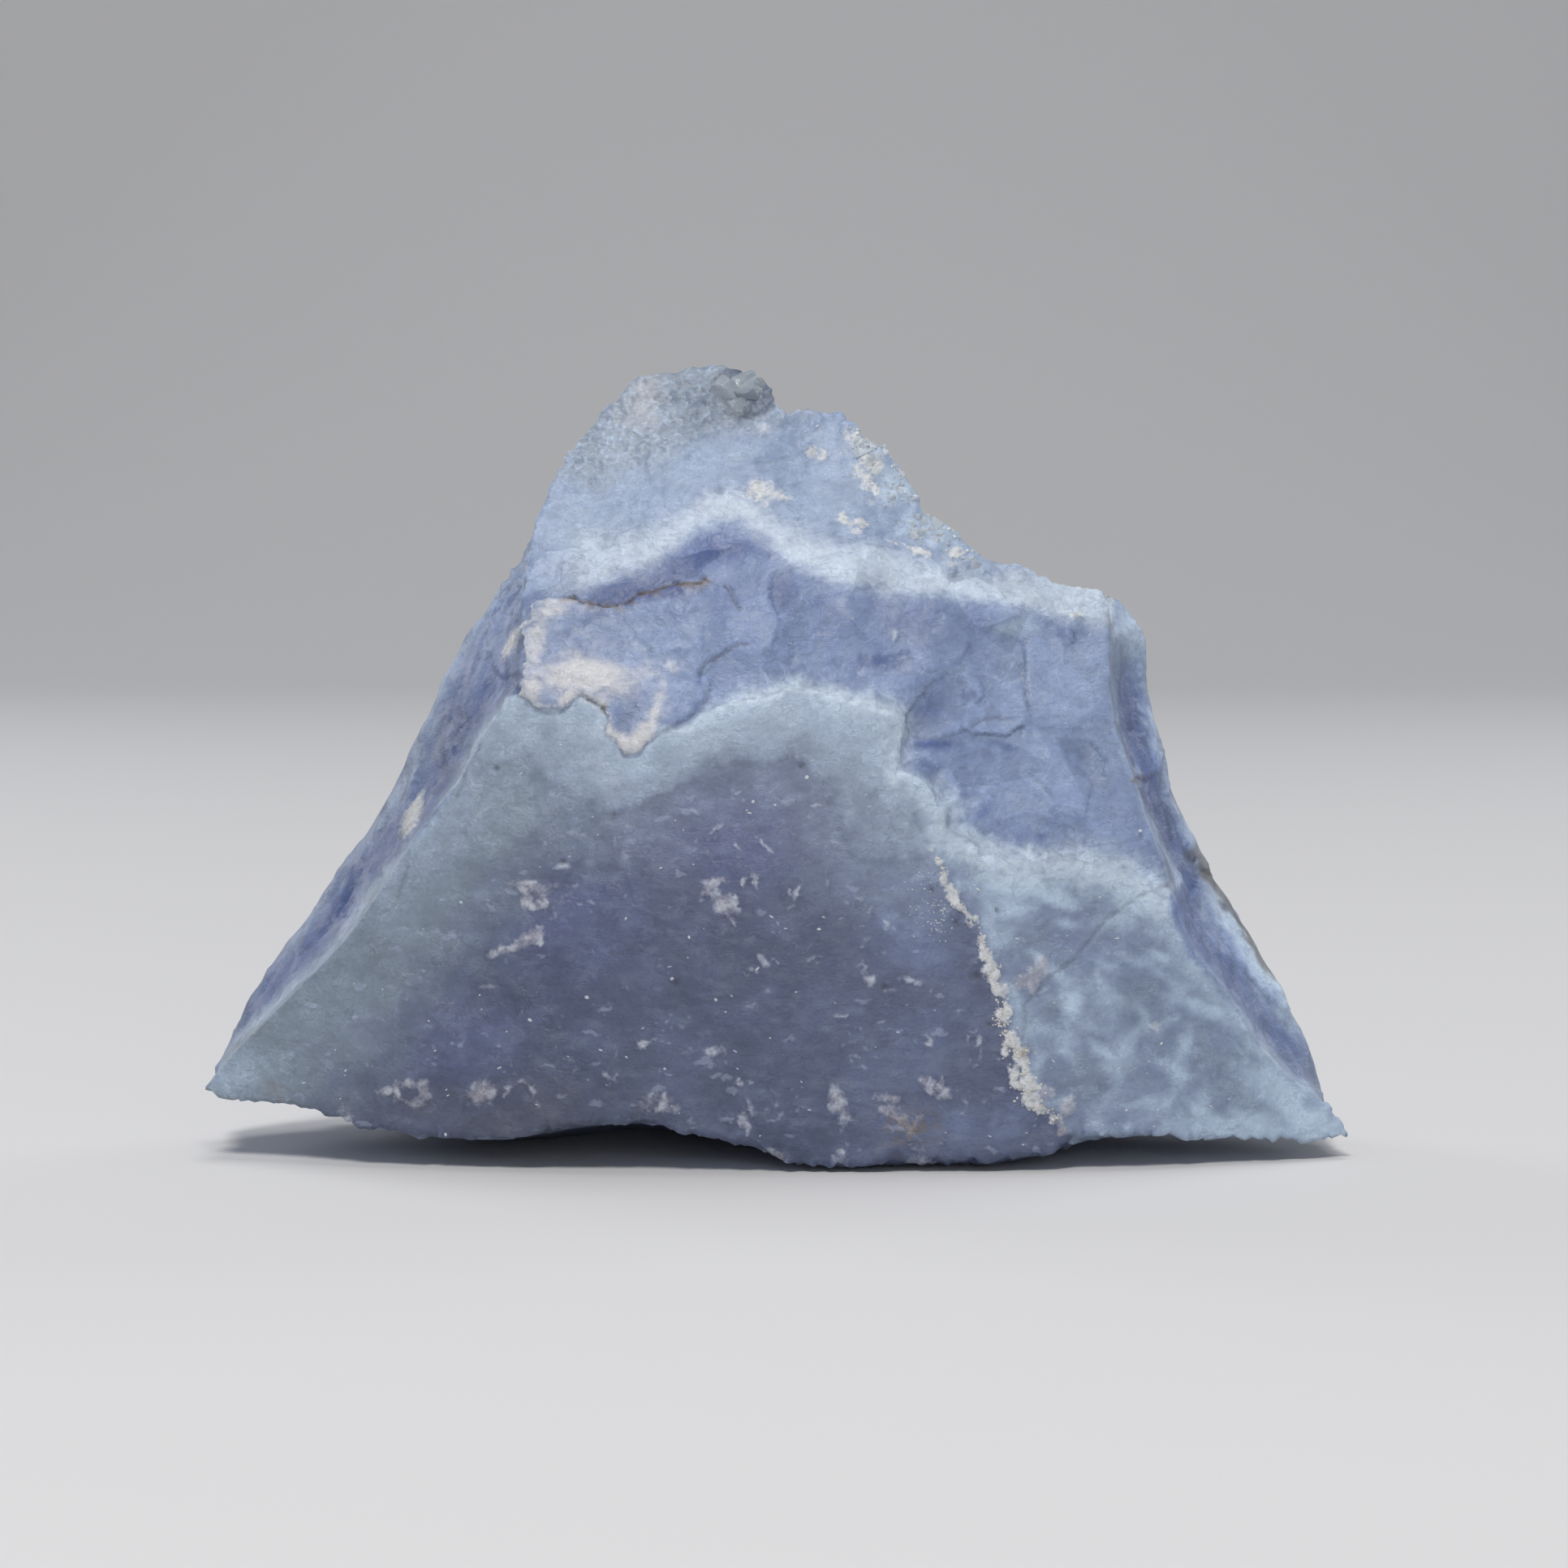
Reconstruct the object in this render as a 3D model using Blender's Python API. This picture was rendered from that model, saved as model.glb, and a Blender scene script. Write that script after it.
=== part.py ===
# A broken piece of blue chalcedony with a drusy quartz crest, as one closed solid.
# X runs along its length, -Y is the face that is looked at, Z is up, and it rests on z = 0.
# The outlines below are in millimetres; the finished mesh is in metres.
import math
import bmesh
import bpy
import numpy as np
from mathutils import Vector, noise
from mathutils.bvhtree import BVHTree
from mathutils.geometry import delaunay_2d_cdt

# Driving dimensions, in millimetres
LENGTH = 103.9
DEPTH = 39.6
HEIGHT = 71.5
MM = 0.001

# Mesh spacings, in millimetres; a point keeps a share of its step, or a gap, to edges and to feature points
FRONT_STEP = 1.8
BACK_STEP = 3.1
STEP_CLEARANCE = 0.62
STEP_JITTER = 0.22
FEATURE_CLEARANCE = 0.45
FEATURE_GAP = 0.62
# Sharp lines and their spacing: the offset to each side, and how many points they take
LEDGE_POINTS = 88
PATCH_POINTS = 64
VEIN_POINTS = 18
PIT_POINTS = 6
SEED = 11

# Front outline in four stretches, as (x, z), clockwise from the left tip
LEFT_EDGE = [
    (-52.2, 6.2), (-49.4, 9.7), (-43.5, 15.4), (-38.8, 20.2), (-36.5, 23.4), (-32.1, 30.0), (-28.0, 35.3),
    (-25.4, 39.7), (-24.2, 41.6), (-23.1, 42.4), (-22.8, 45.1), (-23.2, 49.6), (-22.6, 55.0),
    (-22.1, 57.8),
]
CREST = [
    (-22.1, 57.8), (-21.2, 59.2), (-21.0, 60.3), (-19.8, 62.3), (-18.2, 64.6), (-16.4, 66.8),
    (-14.7, 68.6), (-13.3, 70.5), (-11.1, 71.0), (-9.9, 70.6), (-8.8, 71.3), (-6.9, 71.4), (-3.9, 71.1),
    (-2.3, 70.3), (-1.3, 70.1), (-0.9, 69.0), (-0.3, 67.1), (3.7, 67.1), (6.3, 66.6), (7.2, 65.5),
    (8.2, 64.0), (10.0, 62.9), (11.0, 61.4), (12.1, 60.2), (12.4, 58.6), (12.9, 57.6), (14.6, 57.0),
    (15.8, 55.8), (17.4, 54.8), (18.8, 53.5), (22.3, 53.3), (24.0, 52.1), (26.2, 51.4), (28.9, 51.5),
    (29.7, 50.7),
]
RIGHT_EDGE = [
    (29.7, 50.7), (29.7, 48.4), (29.6, 41.2), (30.4, 38.5), (32.7, 31.6), (34.7, 26.1), (35.6, 22.2),
    (36.9, 19.2), (38.9, 17.1), (43.6, 9.9), (46.1, 7.4), (49.1, 5.5), (51.7, 1.9),
]
FOOT_EDGE = [
    (51.7, 1.9), (48.1, 1.3), (45.5, 1.6), (42.5, 2.2), (37.4, 2.2), (34.5, 2.9), (26.1, 3.3),
    (25.0, 2.8), (24.9, 1.6), (21.1, 1.4), (18.7, 1.0), (17.0, 1.5), (13.3, 1.1), (10.0, 1.4), (8.6, 0.7),
    (6.3, 0.7), (4.7, 0.6), (2.3, 0.8), (0.2, 1.1), (-1.7, 2.5), (-5.2, 2.9), (-8.8, 3.4), (-12.1, 4.9),
    (-15.1, 4.4), (-17.4, 4.5), (-20.4, 3.9), (-26.2, 2.5), (-29.4, 3.0), (-31.6, 2.6), (-35.8, 3.6),
    (-37.1, 3.0), (-38.0, 3.1), (-38.8, 4.2), (-42.3, 4.7), (-45.2, 5.4), (-50.4, 5.2), (-52.2, 6.2),
]
OUTLINE_COUNTS = (26, 50, 29, 57)

# Where the outline is widest, behind the front edges: the side faces run out to it
LEFT_WAIST = [
    (-52.0, 6.4), (-50.6, 9.7), (-49.5, 12.1), (-47.1, 16.2), (-43.9, 20.6), (-41.4, 24.0), (-38.3, 28.6),
    (-35.6, 32.0), (-34.2, 34.6), (-33.7, 36.9), (-32.0, 39.7), (-31.1, 42.9), (-29.8, 45.1),
    (-28.4, 47.9), (-26.3, 50.1), (-24.0, 53.3), (-22.4, 57.2),
]
RIGHT_WAIST = [
    (31.1, 49.8), (33.5, 48.0), (34.0, 46.0), (33.5, 43.5), (34.2, 41.5), (34.9, 37.1), (36.0, 32.8),
    (37.4, 29.8), (38.6, 26.6), (40.3, 24.1), (42.3, 20.8), (44.3, 17.2), (45.9, 15.4), (47.0, 12.2),
    (48.7, 9.6), (49.2, 6.8), (50.6, 3.2),
]
# Depths y of that widest ring: at the two ends of each side, behind the crest, and along the foot
LEFT_WAIST_DEPTHS = (-2.5, 2.0)
RIGHT_WAIST_DEPTHS = (1.0, -3.0)
TOP_WAIST_BACK = 3.2
TOP_WAIST_DROP = 1.1
FOOT_WAIST_DEPTH = -3.0
FOOT_WAIST_BOW = 3.5
# How far the edge of the back face is drawn in from the widest ring, as (x, z), and the height of its foot
LEFT_INSET = (2.6, -1.4)
TOP_INSET = (0.0, -2.6)
RIGHT_INSET = (-2.8, -1.2)
FOOT_INSET_SHARE = 0.9
BACK_FOOT_HEIGHT = 3.6
BACK_FOOT_RISE = 1.2
# Rings between the edges: their shares of the way
SIDE_SHARES = (0.2, 0.48, 0.76, 1.0)
REAR_SHARES = (0.35, 0.7, 1.0)
# The groove behind the front edges and the swell of the rear: how deep, and which way on the left side
GROOVE = 0.9
GROOVE_FORWARD = 1.5
GROOVE_WAY = (1.0, 0.6, -0.3)
REAR_SWELL = 1.1
SWELL_WAY = (-1.0, 0.0, 0.3)
TOP_SWELL_WAY = (0.0, 0.0, 0.8)
MIRROR = np.array((-1.0, 1.0, 1.0))

# Line of the ledge that parts the lower front face from the upper one, left to right
LEDGE = [
    (-25.2, 41.4), (-23.1, 42.1), (-21.0, 40.9), (-19.3, 40.7), (-17.7, 42.2), (-16.2, 41.5),
    (-14.9, 40.0), (-15.3, 38.6), (-13.7, 37.2), (-12.6, 37.1), (-11.3, 38.3), (-10.1, 39.4),
    (-8.7, 39.3), (-6.0, 41.0), (-2.8, 42.0), (1.5, 43.0), (2.4, 42.1), (4.9, 42.0), (8.0, 41.6),
    (11.0, 40.6), (11.4, 39.0), (10.6, 37.0), (10.8, 35.5), (12.4, 35.2), (13.4, 34.2), (14.4, 32.8),
    (15.1, 31.5), (14.9, 30.1), (18.3, 28.3), (20.1, 27.5), (26.9, 27.4), (30.3, 26.4), (32.6, 25.1),
    (35.7, 23.4),
]
LEDGE_WIDTH = 0.75

# Surveys of the fracture faces: (x, z, y) points that each smooth face passes through
LOWER_FACE = [
    (-52, 6, -10.5), (-38, 4, -15.2), (-40, 16, -13.2), (-24, 40, -13.8), (-20, 6, -18.7), (-16, 26, -18.3),
    (0, 1, -18.8), (-2, 18, -20.0), (0, 40, -16.4), (20, 2, -18.6), (20, 20, -17.6), (34, 3, -16.3),
    (33, 22, -13.7), (50, 4, -10.8), (10, 36, -16.6), (-10, 37, -16.8),
]
UPPER_FACE = [
    (-23, 42, -13.8), (-22.5, 50, -10.2), (-21.5, 58, -6.2), (-13, 38, -16.2), (-10, 46, -13.4),
    (-15, 52, -10.0), (-15, 68, -0.2), (-4, 43, -15.4), (-4, 56, -9.4), (-6, 70, 1.9), (5, 44, -15.0),
    (6, 52, -10.8), (5, 65, -0.6), (13, 39, -14.2), (13, 50, -10.9), (13, 56, -5.6), (17, 31, -14.9),
    (22, 40, -12.6), (24, 30, -14.3), (24, 52, -7.2), (29, 44, -10.2), (29, 50, -7.6), (34, 27, -12.5),
    (31, 36, -11.6),
]
BACK_FACE = [
    (-48, 8, 4.5), (-38, 8, 12.0), (-36, 24, 9.5), (-22, 6, 18.2), (-22, 30, 14.6), (-20, 50, 9.4),
    (0, 4, 19.3), (-4, 24, 17.2), (2, 44, 13.2), (-6, 66, 10.4), (8, 57, 8.4), (20, 6, 17.8), (18, 28, 14.0),
    (26, 46, 7.2), (36, 8, 12.6), (34, 28, 9.0), (47, 6, 5.4),
]
# Heights of the underside: (x, y, z), clipped below at the resting plane
UNDERSIDE = [
    (-50, -6, 6.0), (-40, -12, 4.5), (-40, 6, 3.2), (-31, -13, 2.4), (-30, 8, 1.0), (-20, -14, 3.0),
    (-20, -6, 1.6), (-22, 3, -0.5), (-12, -14, 3.9), (-12, -6, 2.4), (-12, 4, 0.6), (-12, 10, -0.2),
    (-4, -14, 2.3), (-4, -5, 0.9), (-2, 3, -1.2), (6, -14, -0.6), (8, 0, -1.8), (18, -13, -0.5),
    (20, 4, -1.2), (-21, 8, -0.6), (-20, 17, 2.8), (2, 8, -0.9), (0, 15, 1.4), (20, 14, 2.0),
    (29, -12, 2.4), (31, 5, 1.2), (42, -7, 2.2), (49, -3, 2.8),
]

# Unevenness of each surface: layers of smooth noise and of flat chips, as (height, size)
FRONT_NOISE = [(0.30, 7.0), (0.16, 2.6)]
PEAK_NOISE = [(0.25, 1.9)]
PEAK_START = 56.0
PEAK_FADE = 6.0
SIDE_NOISE = [(0.36, 4.5), (0.22, 2.1)]
BACK_NOISE = [(0.45, 9.0), (0.28, 3.6)]
UNDERSIDE_NOISE = [(0.25, 5.0)]
UPPER_CHIPS = (0.32, 4.6)
SIDE_CHIPS = (0.5, 6.0)
BACK_CHIPS = (0.5, 7.0)

# Forms on the upper face, each as (x, z, radius, depth): scars where flakes came away
FLAKE_SCARS = [
    (19.4, 36.0, 7.0, 1.3), (26.0, 38.6, 4.2, 1.0), (26.4, 31.3, 4.8, 0.9), (16.8, 44.8, 4.2, 1.0),
    (13.3, 39.1, 3.4, 1.1), (3.5, 46.5, 5.2, 0.9), (-4.5, 54.1, 4.4, 0.9), (-14.4, 47.4, 5.0, 0.7),
    (9.5, 47.9, 4.4, 0.8), (-15.1, 62.7, 5.0, 0.8), (2.1, 61.7, 4.4, 0.8), (23.5, 45.0, 5.2, 0.8),
    (-5.6, 65.7, 4.0, 0.7), (-19.0, 56.7, 3.6, 0.6),
]
# The raised cream flake patch: its outline, cut off below by the ledge, where in x it dies out, its height
PATCH = [
    (-24.4, 41.4), (-23.5, 44.5), (-23.3, 46.7), (-22.6, 49.5), (-21.6, 50.4), (-18.9, 50.5),
    (-16.4, 49.9), (-13.5, 50.0), (-12.8, 50.8), (-10.6, 51.4), (-6.7, 52.1), (-4.9, 51.2), (-3.9, 49.6),
    (-5.1, 45.8), (-7.1, 43.3), (-7.7, 39.6), (-12.8, 36.3), (-16.8, 39.9),
]
PATCH_FADE = (-4.0, -11.0)
PATCH_HEIGHT = 0.75
PATCH_EDGE = 0.7
# Broad scars on the back face, as (x, z, radius, depth)
BACK_SCARS = [
    (-27.0, 22.0, 15.0, 2.4), (-6.0, 34.0, 15.0, 2.2), (14.0, 16.0, 14.0, 2.2), (27.0, 34.0, 12.0, 1.8),
    (-9.0, 56.0, 10.0, 1.6), (34.0, 12.0, 11.0, 1.6), (-12.0, 10.0, 10.0, 1.4), (9.0, 52.0, 8.0, 1.2),
]
# Pits and lumps of the front, as (x, z, radius, depth); a negative depth stands proud, as the quartz does
PITS = [
    (-3.4, 68.2, 2.2, -0.9), (6.4, 64.6, 1.2, -0.5), (3.9, 63.6, 1.2, -0.4), (8.2, 61.4, 1.4, -0.6),
    (10.2, 58.6, 1.5, -0.5), (7.0, 57.0, 1.4, -0.4), (12.8, 55.6, 1.3, -0.5), (-12.5, 66.0, 2.4, -0.5),
    (-21.9, 24.7, 1.3, 0.4), (-22.9, 20.3, 1.7, 0.45), (-5.3, 24.8, 1.2, 0.5), (-2.6, 25.7, 0.8, 0.3),
    (1.2, 25.5, 0.8, 0.3), (-1.9, 18.8, 1.1, 0.35), (7.9, 18.5, 1.2, 0.4), (-33.2, 6.7, 1.7, -0.45),
    (-26.3, 6.9, 1.0, -0.5), (-22.9, 6.5, 1.8, -0.45), (-10.1, 6.2, 1.5, 0.4), (5.2, 6.4, 1.3, -0.35),
    (10.3, 5.7, 1.8, -0.5), (13.6, 7.6, 1.2, -0.4), (17.0, 11.7, 0.9, 0.3), (22.2, 17.6, 1.6, -0.5),
]
# How far from its middle, in radii, a pit or lump starts to slope
PIT_SLOPE = 1.35
# The cream vein on the lower face, which stands a little proud, and the shallow terrace under the ledge
VEIN = [
    (13.8, 27.9), (15.4, 24.4), (17.8, 20.7), (19.0, 17.3), (20.3, 14.7), (19.7, 12.8), (20.8, 10.4),
    (22.9, 8.3), (24.4, 6.4), (25.1, 4.3),
]
VEIN_HALF_WIDTH = 0.85
VEIN_HEIGHT = 0.6
VEIN_FOOT = (1.3, 0.5)
TERRACE = [
    (-27.5, 36.4), (-22.6, 36.7), (-20.9, 35.4), (-18.4, 33.6), (-15.3, 32.2), (-8.9, 34.3), (-1.0, 36.5),
]
TERRACE_HEIGHT = 0.4
TERRACE_WIDTH = 1.6
TERRACE_REACH = 4.0

# Small quartz crystals grown along the crest: where they start and end on it, as shares of its length
CRYSTAL_STRETCHES = [(0.36, 0.47, 4), (0.50, 0.84, 52), (0.84, 0.99, 10)]
CRYSTAL_SPREAD = (-4.2, 1.8)
CRYSTAL_SIZE = (0.9, 1.7)
CREST_SAMPLES = 400
CAST_DISTANCE = 9.0
CRYSTAL_SINK = 0.28
CRYSTAL_SIDES = 6
# The directions that the crystals lean in, as ranges in x, y and z
CRYSTAL_LEAN = [(-0.4, 0.7), (-1.1, 0.1), (0.9, 0.9)]
# A crystal's radius, root, shoulder and tip, as shares of its size
CRYSTAL_RADIUS = 0.55
CRYSTAL_ROOT = -0.9
CRYSTAL_SHOULDER = 0.15
CRYSTAL_TIP = 0.75

STONE_COLOUR = (0.24, 0.30, 0.42, 1.0)
STONE_ROUGHNESS = 0.55


def clear_scene():
    for obj in list(bpy.data.objects):
        bpy.data.objects.remove(obj)


def smooth_surface(survey):
    """A thin-plate surface through the survey points, as a function of two coordinates."""
    survey = np.array(survey, float)
    known, heights = survey[:, :2], survey[:, 2]

    def spread(distance_squared):
        return distance_squared * np.log(distance_squared + 1e-9)

    gaps = known[:, None] - known[None]
    bend = spread((gaps ** 2).sum(axis=2))
    flat = np.column_stack([np.ones(len(known)), known])
    system = np.block([[bend, flat], [flat.T, np.zeros((3, 3))]])
    weights = np.linalg.solve(system, np.concatenate([heights, np.zeros(3)]))

    def height_at(points):
        points = np.atleast_2d(points)
        gaps = points[:, None] - known[None]
        return spread((gaps ** 2).sum(axis=2)) @ weights[:-3] + weights[-3] + points @ weights[-2:]

    return height_at


lower_face = smooth_surface(LOWER_FACE)
upper_face = smooth_surface(UPPER_FACE)
back_face = smooth_surface(BACK_FACE)
underside = smooth_surface(UNDERSIDE)


def along(points, count):
    """The line through the points, cut into count equal steps, without its last point."""
    points = np.array(points, float)
    lengths = np.concatenate([[0], np.cumsum(np.linalg.norm(np.diff(points, axis=0), axis=1))])
    wanted = np.linspace(0, lengths[-1], count + 1)[:-1]
    return np.column_stack([np.interp(wanted, lengths, points[:, axis]) for axis in range(points.shape[1])])


def distance_to_line(points, line):
    """The distance from each point to an open line, and which side it lies on: +1 is left of the line."""
    line = np.array(line, float)
    start, run = line[:-1], np.diff(line, axis=0)
    offset = points[:, None] - start[None]
    share = np.clip((offset * run).sum(axis=2) / (run ** 2).sum(axis=1), 0, 1)
    gap = offset - share[..., None] * run
    distance = np.linalg.norm(gap, axis=2)
    nearest = distance.argmin(axis=1)
    rows = np.arange(len(points))
    turn = run[nearest, 0] * offset[rows, nearest, 1] - run[nearest, 1] * offset[rows, nearest, 0]
    return distance[rows, nearest], np.where(turn > 0, 1.0, -1.0)


def inside(points, outline):
    """True for each point inside the closed outline."""
    outline = np.array(outline, float)
    following = np.roll(outline, -1, axis=0)
    x, z = points[:, :1], points[:, 1:2]
    spans = (outline[:, 1] > z) != (following[:, 1] > z)
    rise = np.where(following[:, 1] == outline[:, 1], 1.0, following[:, 1] - outline[:, 1])
    crossing = outline[:, 0] + (z - outline[:, 1]) * (following[:, 0] - outline[:, 0]) / rise
    return (spans & (x < crossing)).sum(axis=1) % 2 == 1


def ramp(value):
    value = np.clip(value, 0, 1)
    return value * value * (3 - 2 * value)


def rough(points, scale, seed):
    """Smooth noise between about -1 and 1 at each point, with features the given size across."""
    shift = Vector((17.3 * seed, -9.1 * seed, 4.7 * seed))
    return np.array([noise.noise(Vector(p) / scale + shift) for p in points]) * 1.6


def uneven(points, layers, seed):
    """The sum of layers of noise, each with its height and size."""
    return sum(height * rough(points, size, seed + number) for number, (height, size) in enumerate(layers))


def chipped(points, layer, seed):
    """Flat chips meeting at ridges: the height above the nearest cell's own tilted plane."""
    height, size = layer
    heights = []
    for p in points:
        place = Vector(p) / size + Vector((seed, 2.3 * seed, -seed))
        nearest = noise.voronoi(place)[1][0]
        tilt = noise.noise_vector(nearest * 3.1)
        heights.append(height * (place - nearest).dot(tilt))
    return np.array(heights)


def scooped(plan, scars):
    """The depth of the deepest dish over each point: dishes have a crisp rim and meet in ridges."""
    depths = np.zeros(len(plan))
    for x, z, radius, depth in scars:
        reach = np.hypot(plan[:, 0] - x, plan[:, 1] - z) / radius
        depths = np.maximum(depths, depth * (1 - reach ** 2))
    return depths


def front_relief(plan, upper):
    """How far each point (x, z) of the front stands towards the viewer from the smooth faces."""
    height = -scooped(plan, FLAKE_SCARS)
    for x, z, radius, depth in PITS:
        reach = np.hypot(plan[:, 0] - x, plan[:, 1] - z) / radius
        height -= depth * ramp(PIT_SLOPE - reach)
    distance, _ = distance_to_line(plan, VEIN)
    height += VEIN_HEIGHT * ramp(1 - (distance - VEIN_HALF_WIDTH) / VEIN_HALF_WIDTH)
    distance, side = distance_to_line(plan, TERRACE)
    beside = ramp(2 - distance / TERRACE_REACH)
    height += TERRACE_HEIGHT * ramp(0.5 + side * distance / TERRACE_WIDTH) * beside
    distance, _ = distance_to_line(plan, PATCH + PATCH[:1])
    edge = np.where(inside(plan, PATCH), distance, -distance)
    start, full = PATCH_FADE
    fade = ramp((start - plan[:, 0]) / (start - full))
    height += upper * PATCH_HEIGHT * ramp(0.5 + edge / PATCH_EDGE) * fade
    return height


def front_depth(plan):
    """The depth y of the front at each point (x, z)."""
    distance, side = distance_to_line(plan, LEDGE)
    share = ramp(0.5 + side * distance / LEDGE_WIDTH)
    smooth = (1 - share) * lower_face(plan) + share * upper_face(plan)
    spots = np.column_stack([plan, np.zeros(len(plan))])
    peak = ramp((plan[:, 1] - PEAK_START) / PEAK_FADE)
    texture = uneven(spots, FRONT_NOISE, 1)
    texture += share * (chipped(spots, UPPER_CHIPS, 3) + peak * uneven(spots, PEAK_NOISE, 5))
    return smooth - texture - front_relief(plan, share)


def back_depth(plan):
    """The depth y of the back at each point (x, z)."""
    spots = np.column_stack([plan, np.full(len(plan), DEPTH)])
    texture = uneven(spots, BACK_NOISE, 12) + chipped(spots, BACK_CHIPS, 6)
    return back_face(plan) + texture - scooped(plan, BACK_SCARS)


def underside_height(plan):
    """The height z of the underside at each point (x, y): irregular, and flat where it rests."""
    spots = np.column_stack([plan, np.zeros(len(plan))])
    return np.maximum(underside(plan) + uneven(spots, UNDERSIDE_NOISE, 7), 0.0)


def front_outline():
    stretches = [LEFT_EDGE, CREST, RIGHT_EDGE, FOOT_EDGE]
    return np.concatenate([along(line, count) for line, count in zip(stretches, OUTLINE_COUNTS)])


def outline_slices():
    """The index ranges of the left side, crest, right side and foot on every ring."""
    ends = np.cumsum((0,) + OUTLINE_COUNTS)
    return [slice(a, b) for a, b in zip(ends[:-1], ends[1:])]


def waist_ring(front):
    """The ring where the stone is widest, as (x, y, z)."""
    left, top, right, foot = outline_slices()
    ring = np.zeros((len(front), 3))
    side = along(LEFT_WAIST, OUTLINE_COUNTS[0])
    ring[left] = np.column_stack([side[:, 0], np.linspace(*LEFT_WAIST_DEPTHS, len(side)), side[:, 1]])
    ring[top] = front[top] + (0, TOP_WAIST_BACK, -TOP_WAIST_DROP)
    side = along(RIGHT_WAIST, OUTLINE_COUNTS[2])
    ring[right] = np.column_stack([side[:, 0], np.linspace(*RIGHT_WAIST_DEPTHS, len(side)), side[:, 1]])
    share = np.linspace(0, 1, OUTLINE_COUNTS[3], endpoint=False)
    start, end = ring[right][-1], ring[left][0]
    bow = FOOT_WAIST_DEPTH + FOOT_WAIST_BOW * np.sin(math.pi * share)
    plan = np.column_stack([start[0] + (end[0] - start[0]) * share, bow])
    ring[foot] = np.column_stack([plan, underside_height(plan)])
    return ring


def smoothed(line, reach):
    """Each point of a line moved to the mean of its neighbours within the reach."""
    padded = np.pad(line, ((reach, reach), (0, 0)), "edge")
    return sum(padded[k:k + len(line)] for k in range(2 * reach + 1)) / (2 * reach + 1)


def back_ring(waist):
    """The ring where the sides end and the back face begins, drawn in from the widest ring."""
    left, top, right, foot = outline_slices()
    ring = waist.copy()
    for stretch, reach, inset in ((left, 1, LEFT_INSET), (top, 2, TOP_INSET), (right, 1, RIGHT_INSET)):
        ring[stretch] = smoothed(ring[stretch], reach) + (inset[0], 0, inset[1])
    inner = FOOT_INSET_SHARE * ring[foot][:, 0]
    rise = BACK_FOOT_HEIGHT + BACK_FOOT_RISE * np.abs(inner) / (LENGTH / 2)
    ring[foot] = np.column_stack([inner, np.zeros(len(inner)), rise])
    ring[:, 1] = back_depth(ring[:, [0, 2]])
    return ring


def side_rings(front, waist, back):
    """Rings from the front edge back to the edge of the back face."""
    left, top, right, foot = outline_slices()
    rings = [front]
    for share in SIDE_SHARES:
        ring = front + (waist - front) * share
        groove = GROOVE * math.sin(math.pi * share) * (GROOVE_FORWARD - share)
        ring[left] += np.array(GROOVE_WAY) * groove
        ring[right] += np.array(GROOVE_WAY) * MIRROR * groove
        rings.append(ring)
    for share in REAR_SHARES:
        ring = waist + (back - waist) * share
        swell = REAR_SWELL * math.sin(math.pi * share)
        ring[left] += np.array(SWELL_WAY) * swell
        ring[right] += np.array(SWELL_WAY) * MIRROR * swell
        ring[top] += np.array(TOP_SWELL_WAY) * swell
        rings.append(ring)
    for number, ring in enumerate(rings[1:], 1):
        outward = ring - ring.mean(axis=0)
        outward[:, 1] = 0
        outward /= np.linalg.norm(outward, axis=1)[:, None]
        bumps = uneven(ring, SIDE_NOISE, 8) + chipped(ring, SIDE_CHIPS, 4)
        ring += outward * bumps[:, None]
        if number < len(rings) - 1:
            ring[foot, 2] = underside_height(ring[foot][:, :2])
    return rings


def plan_grid(outline, step, features, seed):
    """Points spread over the inside of an outline, thinned beside it and beside the feature points."""
    random = np.random.default_rng(seed)
    low, high = outline.min(axis=0), outline.max(axis=0)
    rows = np.arange(low[1], high[1], step * math.sqrt(3) / 2)
    points = [
        (x + (row % 2) * step / 2, z)
        for row, z in enumerate(rows)
        for x in np.arange(low[0], high[0], step)
    ]
    points = np.array(points) + random.uniform(-STEP_JITTER, STEP_JITTER, (len(points), 2)) * step
    points = points[inside(points, outline)]
    distance, _ = distance_to_line(points, np.vstack([outline, outline[:1]]))
    points = points[distance > STEP_CLEARANCE * step]
    if len(features):
        features = features[inside(features, outline)]
        distance, _ = distance_to_line(features, np.vstack([outline, outline[:1]]))
        features = features[distance > FEATURE_CLEARANCE]
        apart = np.linalg.norm(points[:, None] - features[None], axis=2).min(axis=1)
        points = np.vstack([features, points[apart > STEP_CLEARANCE * step]])
    return points


def thinned(points, gap):
    """The points without any that lies closer than the gap to an earlier one."""
    kept = []
    for point in points:
        if all(math.dist(point, other) > gap for other in kept):
            kept.append(point)
    return np.array(kept)


def feature_points():
    """Extra points where the front has a sharp form: the ledge, the patch, the vein and the pits."""
    points = []
    lines = (
        (LEDGE, LEDGE_WIDTH / 2, LEDGE_POINTS),
        (PATCH + PATCH[:1], PATCH_EDGE / 2, PATCH_POINTS),
        (VEIN, 0.0, VEIN_POINTS),
    )
    for line, offset, count in lines:
        middle = along(line, count)
        run = np.gradient(middle, axis=0)
        across = np.column_stack([-run[:, 1], run[:, 0]]) / np.linalg.norm(run, axis=1)[:, None]
        points += list(middle + across * offset) + list(middle - across * offset)
    middle = along(VEIN, VEIN_POINTS)
    points += list(middle + VEIN_FOOT) + list(middle - VEIN_FOOT)
    for x, z, radius, _ in PITS:
        points.append((x, z))
        for turn in np.arange(PIT_POINTS) * math.tau / PIT_POINTS:
            points.append((x + radius * math.cos(turn), z + radius * math.sin(turn)))
    return thinned(points, FEATURE_GAP)


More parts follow.
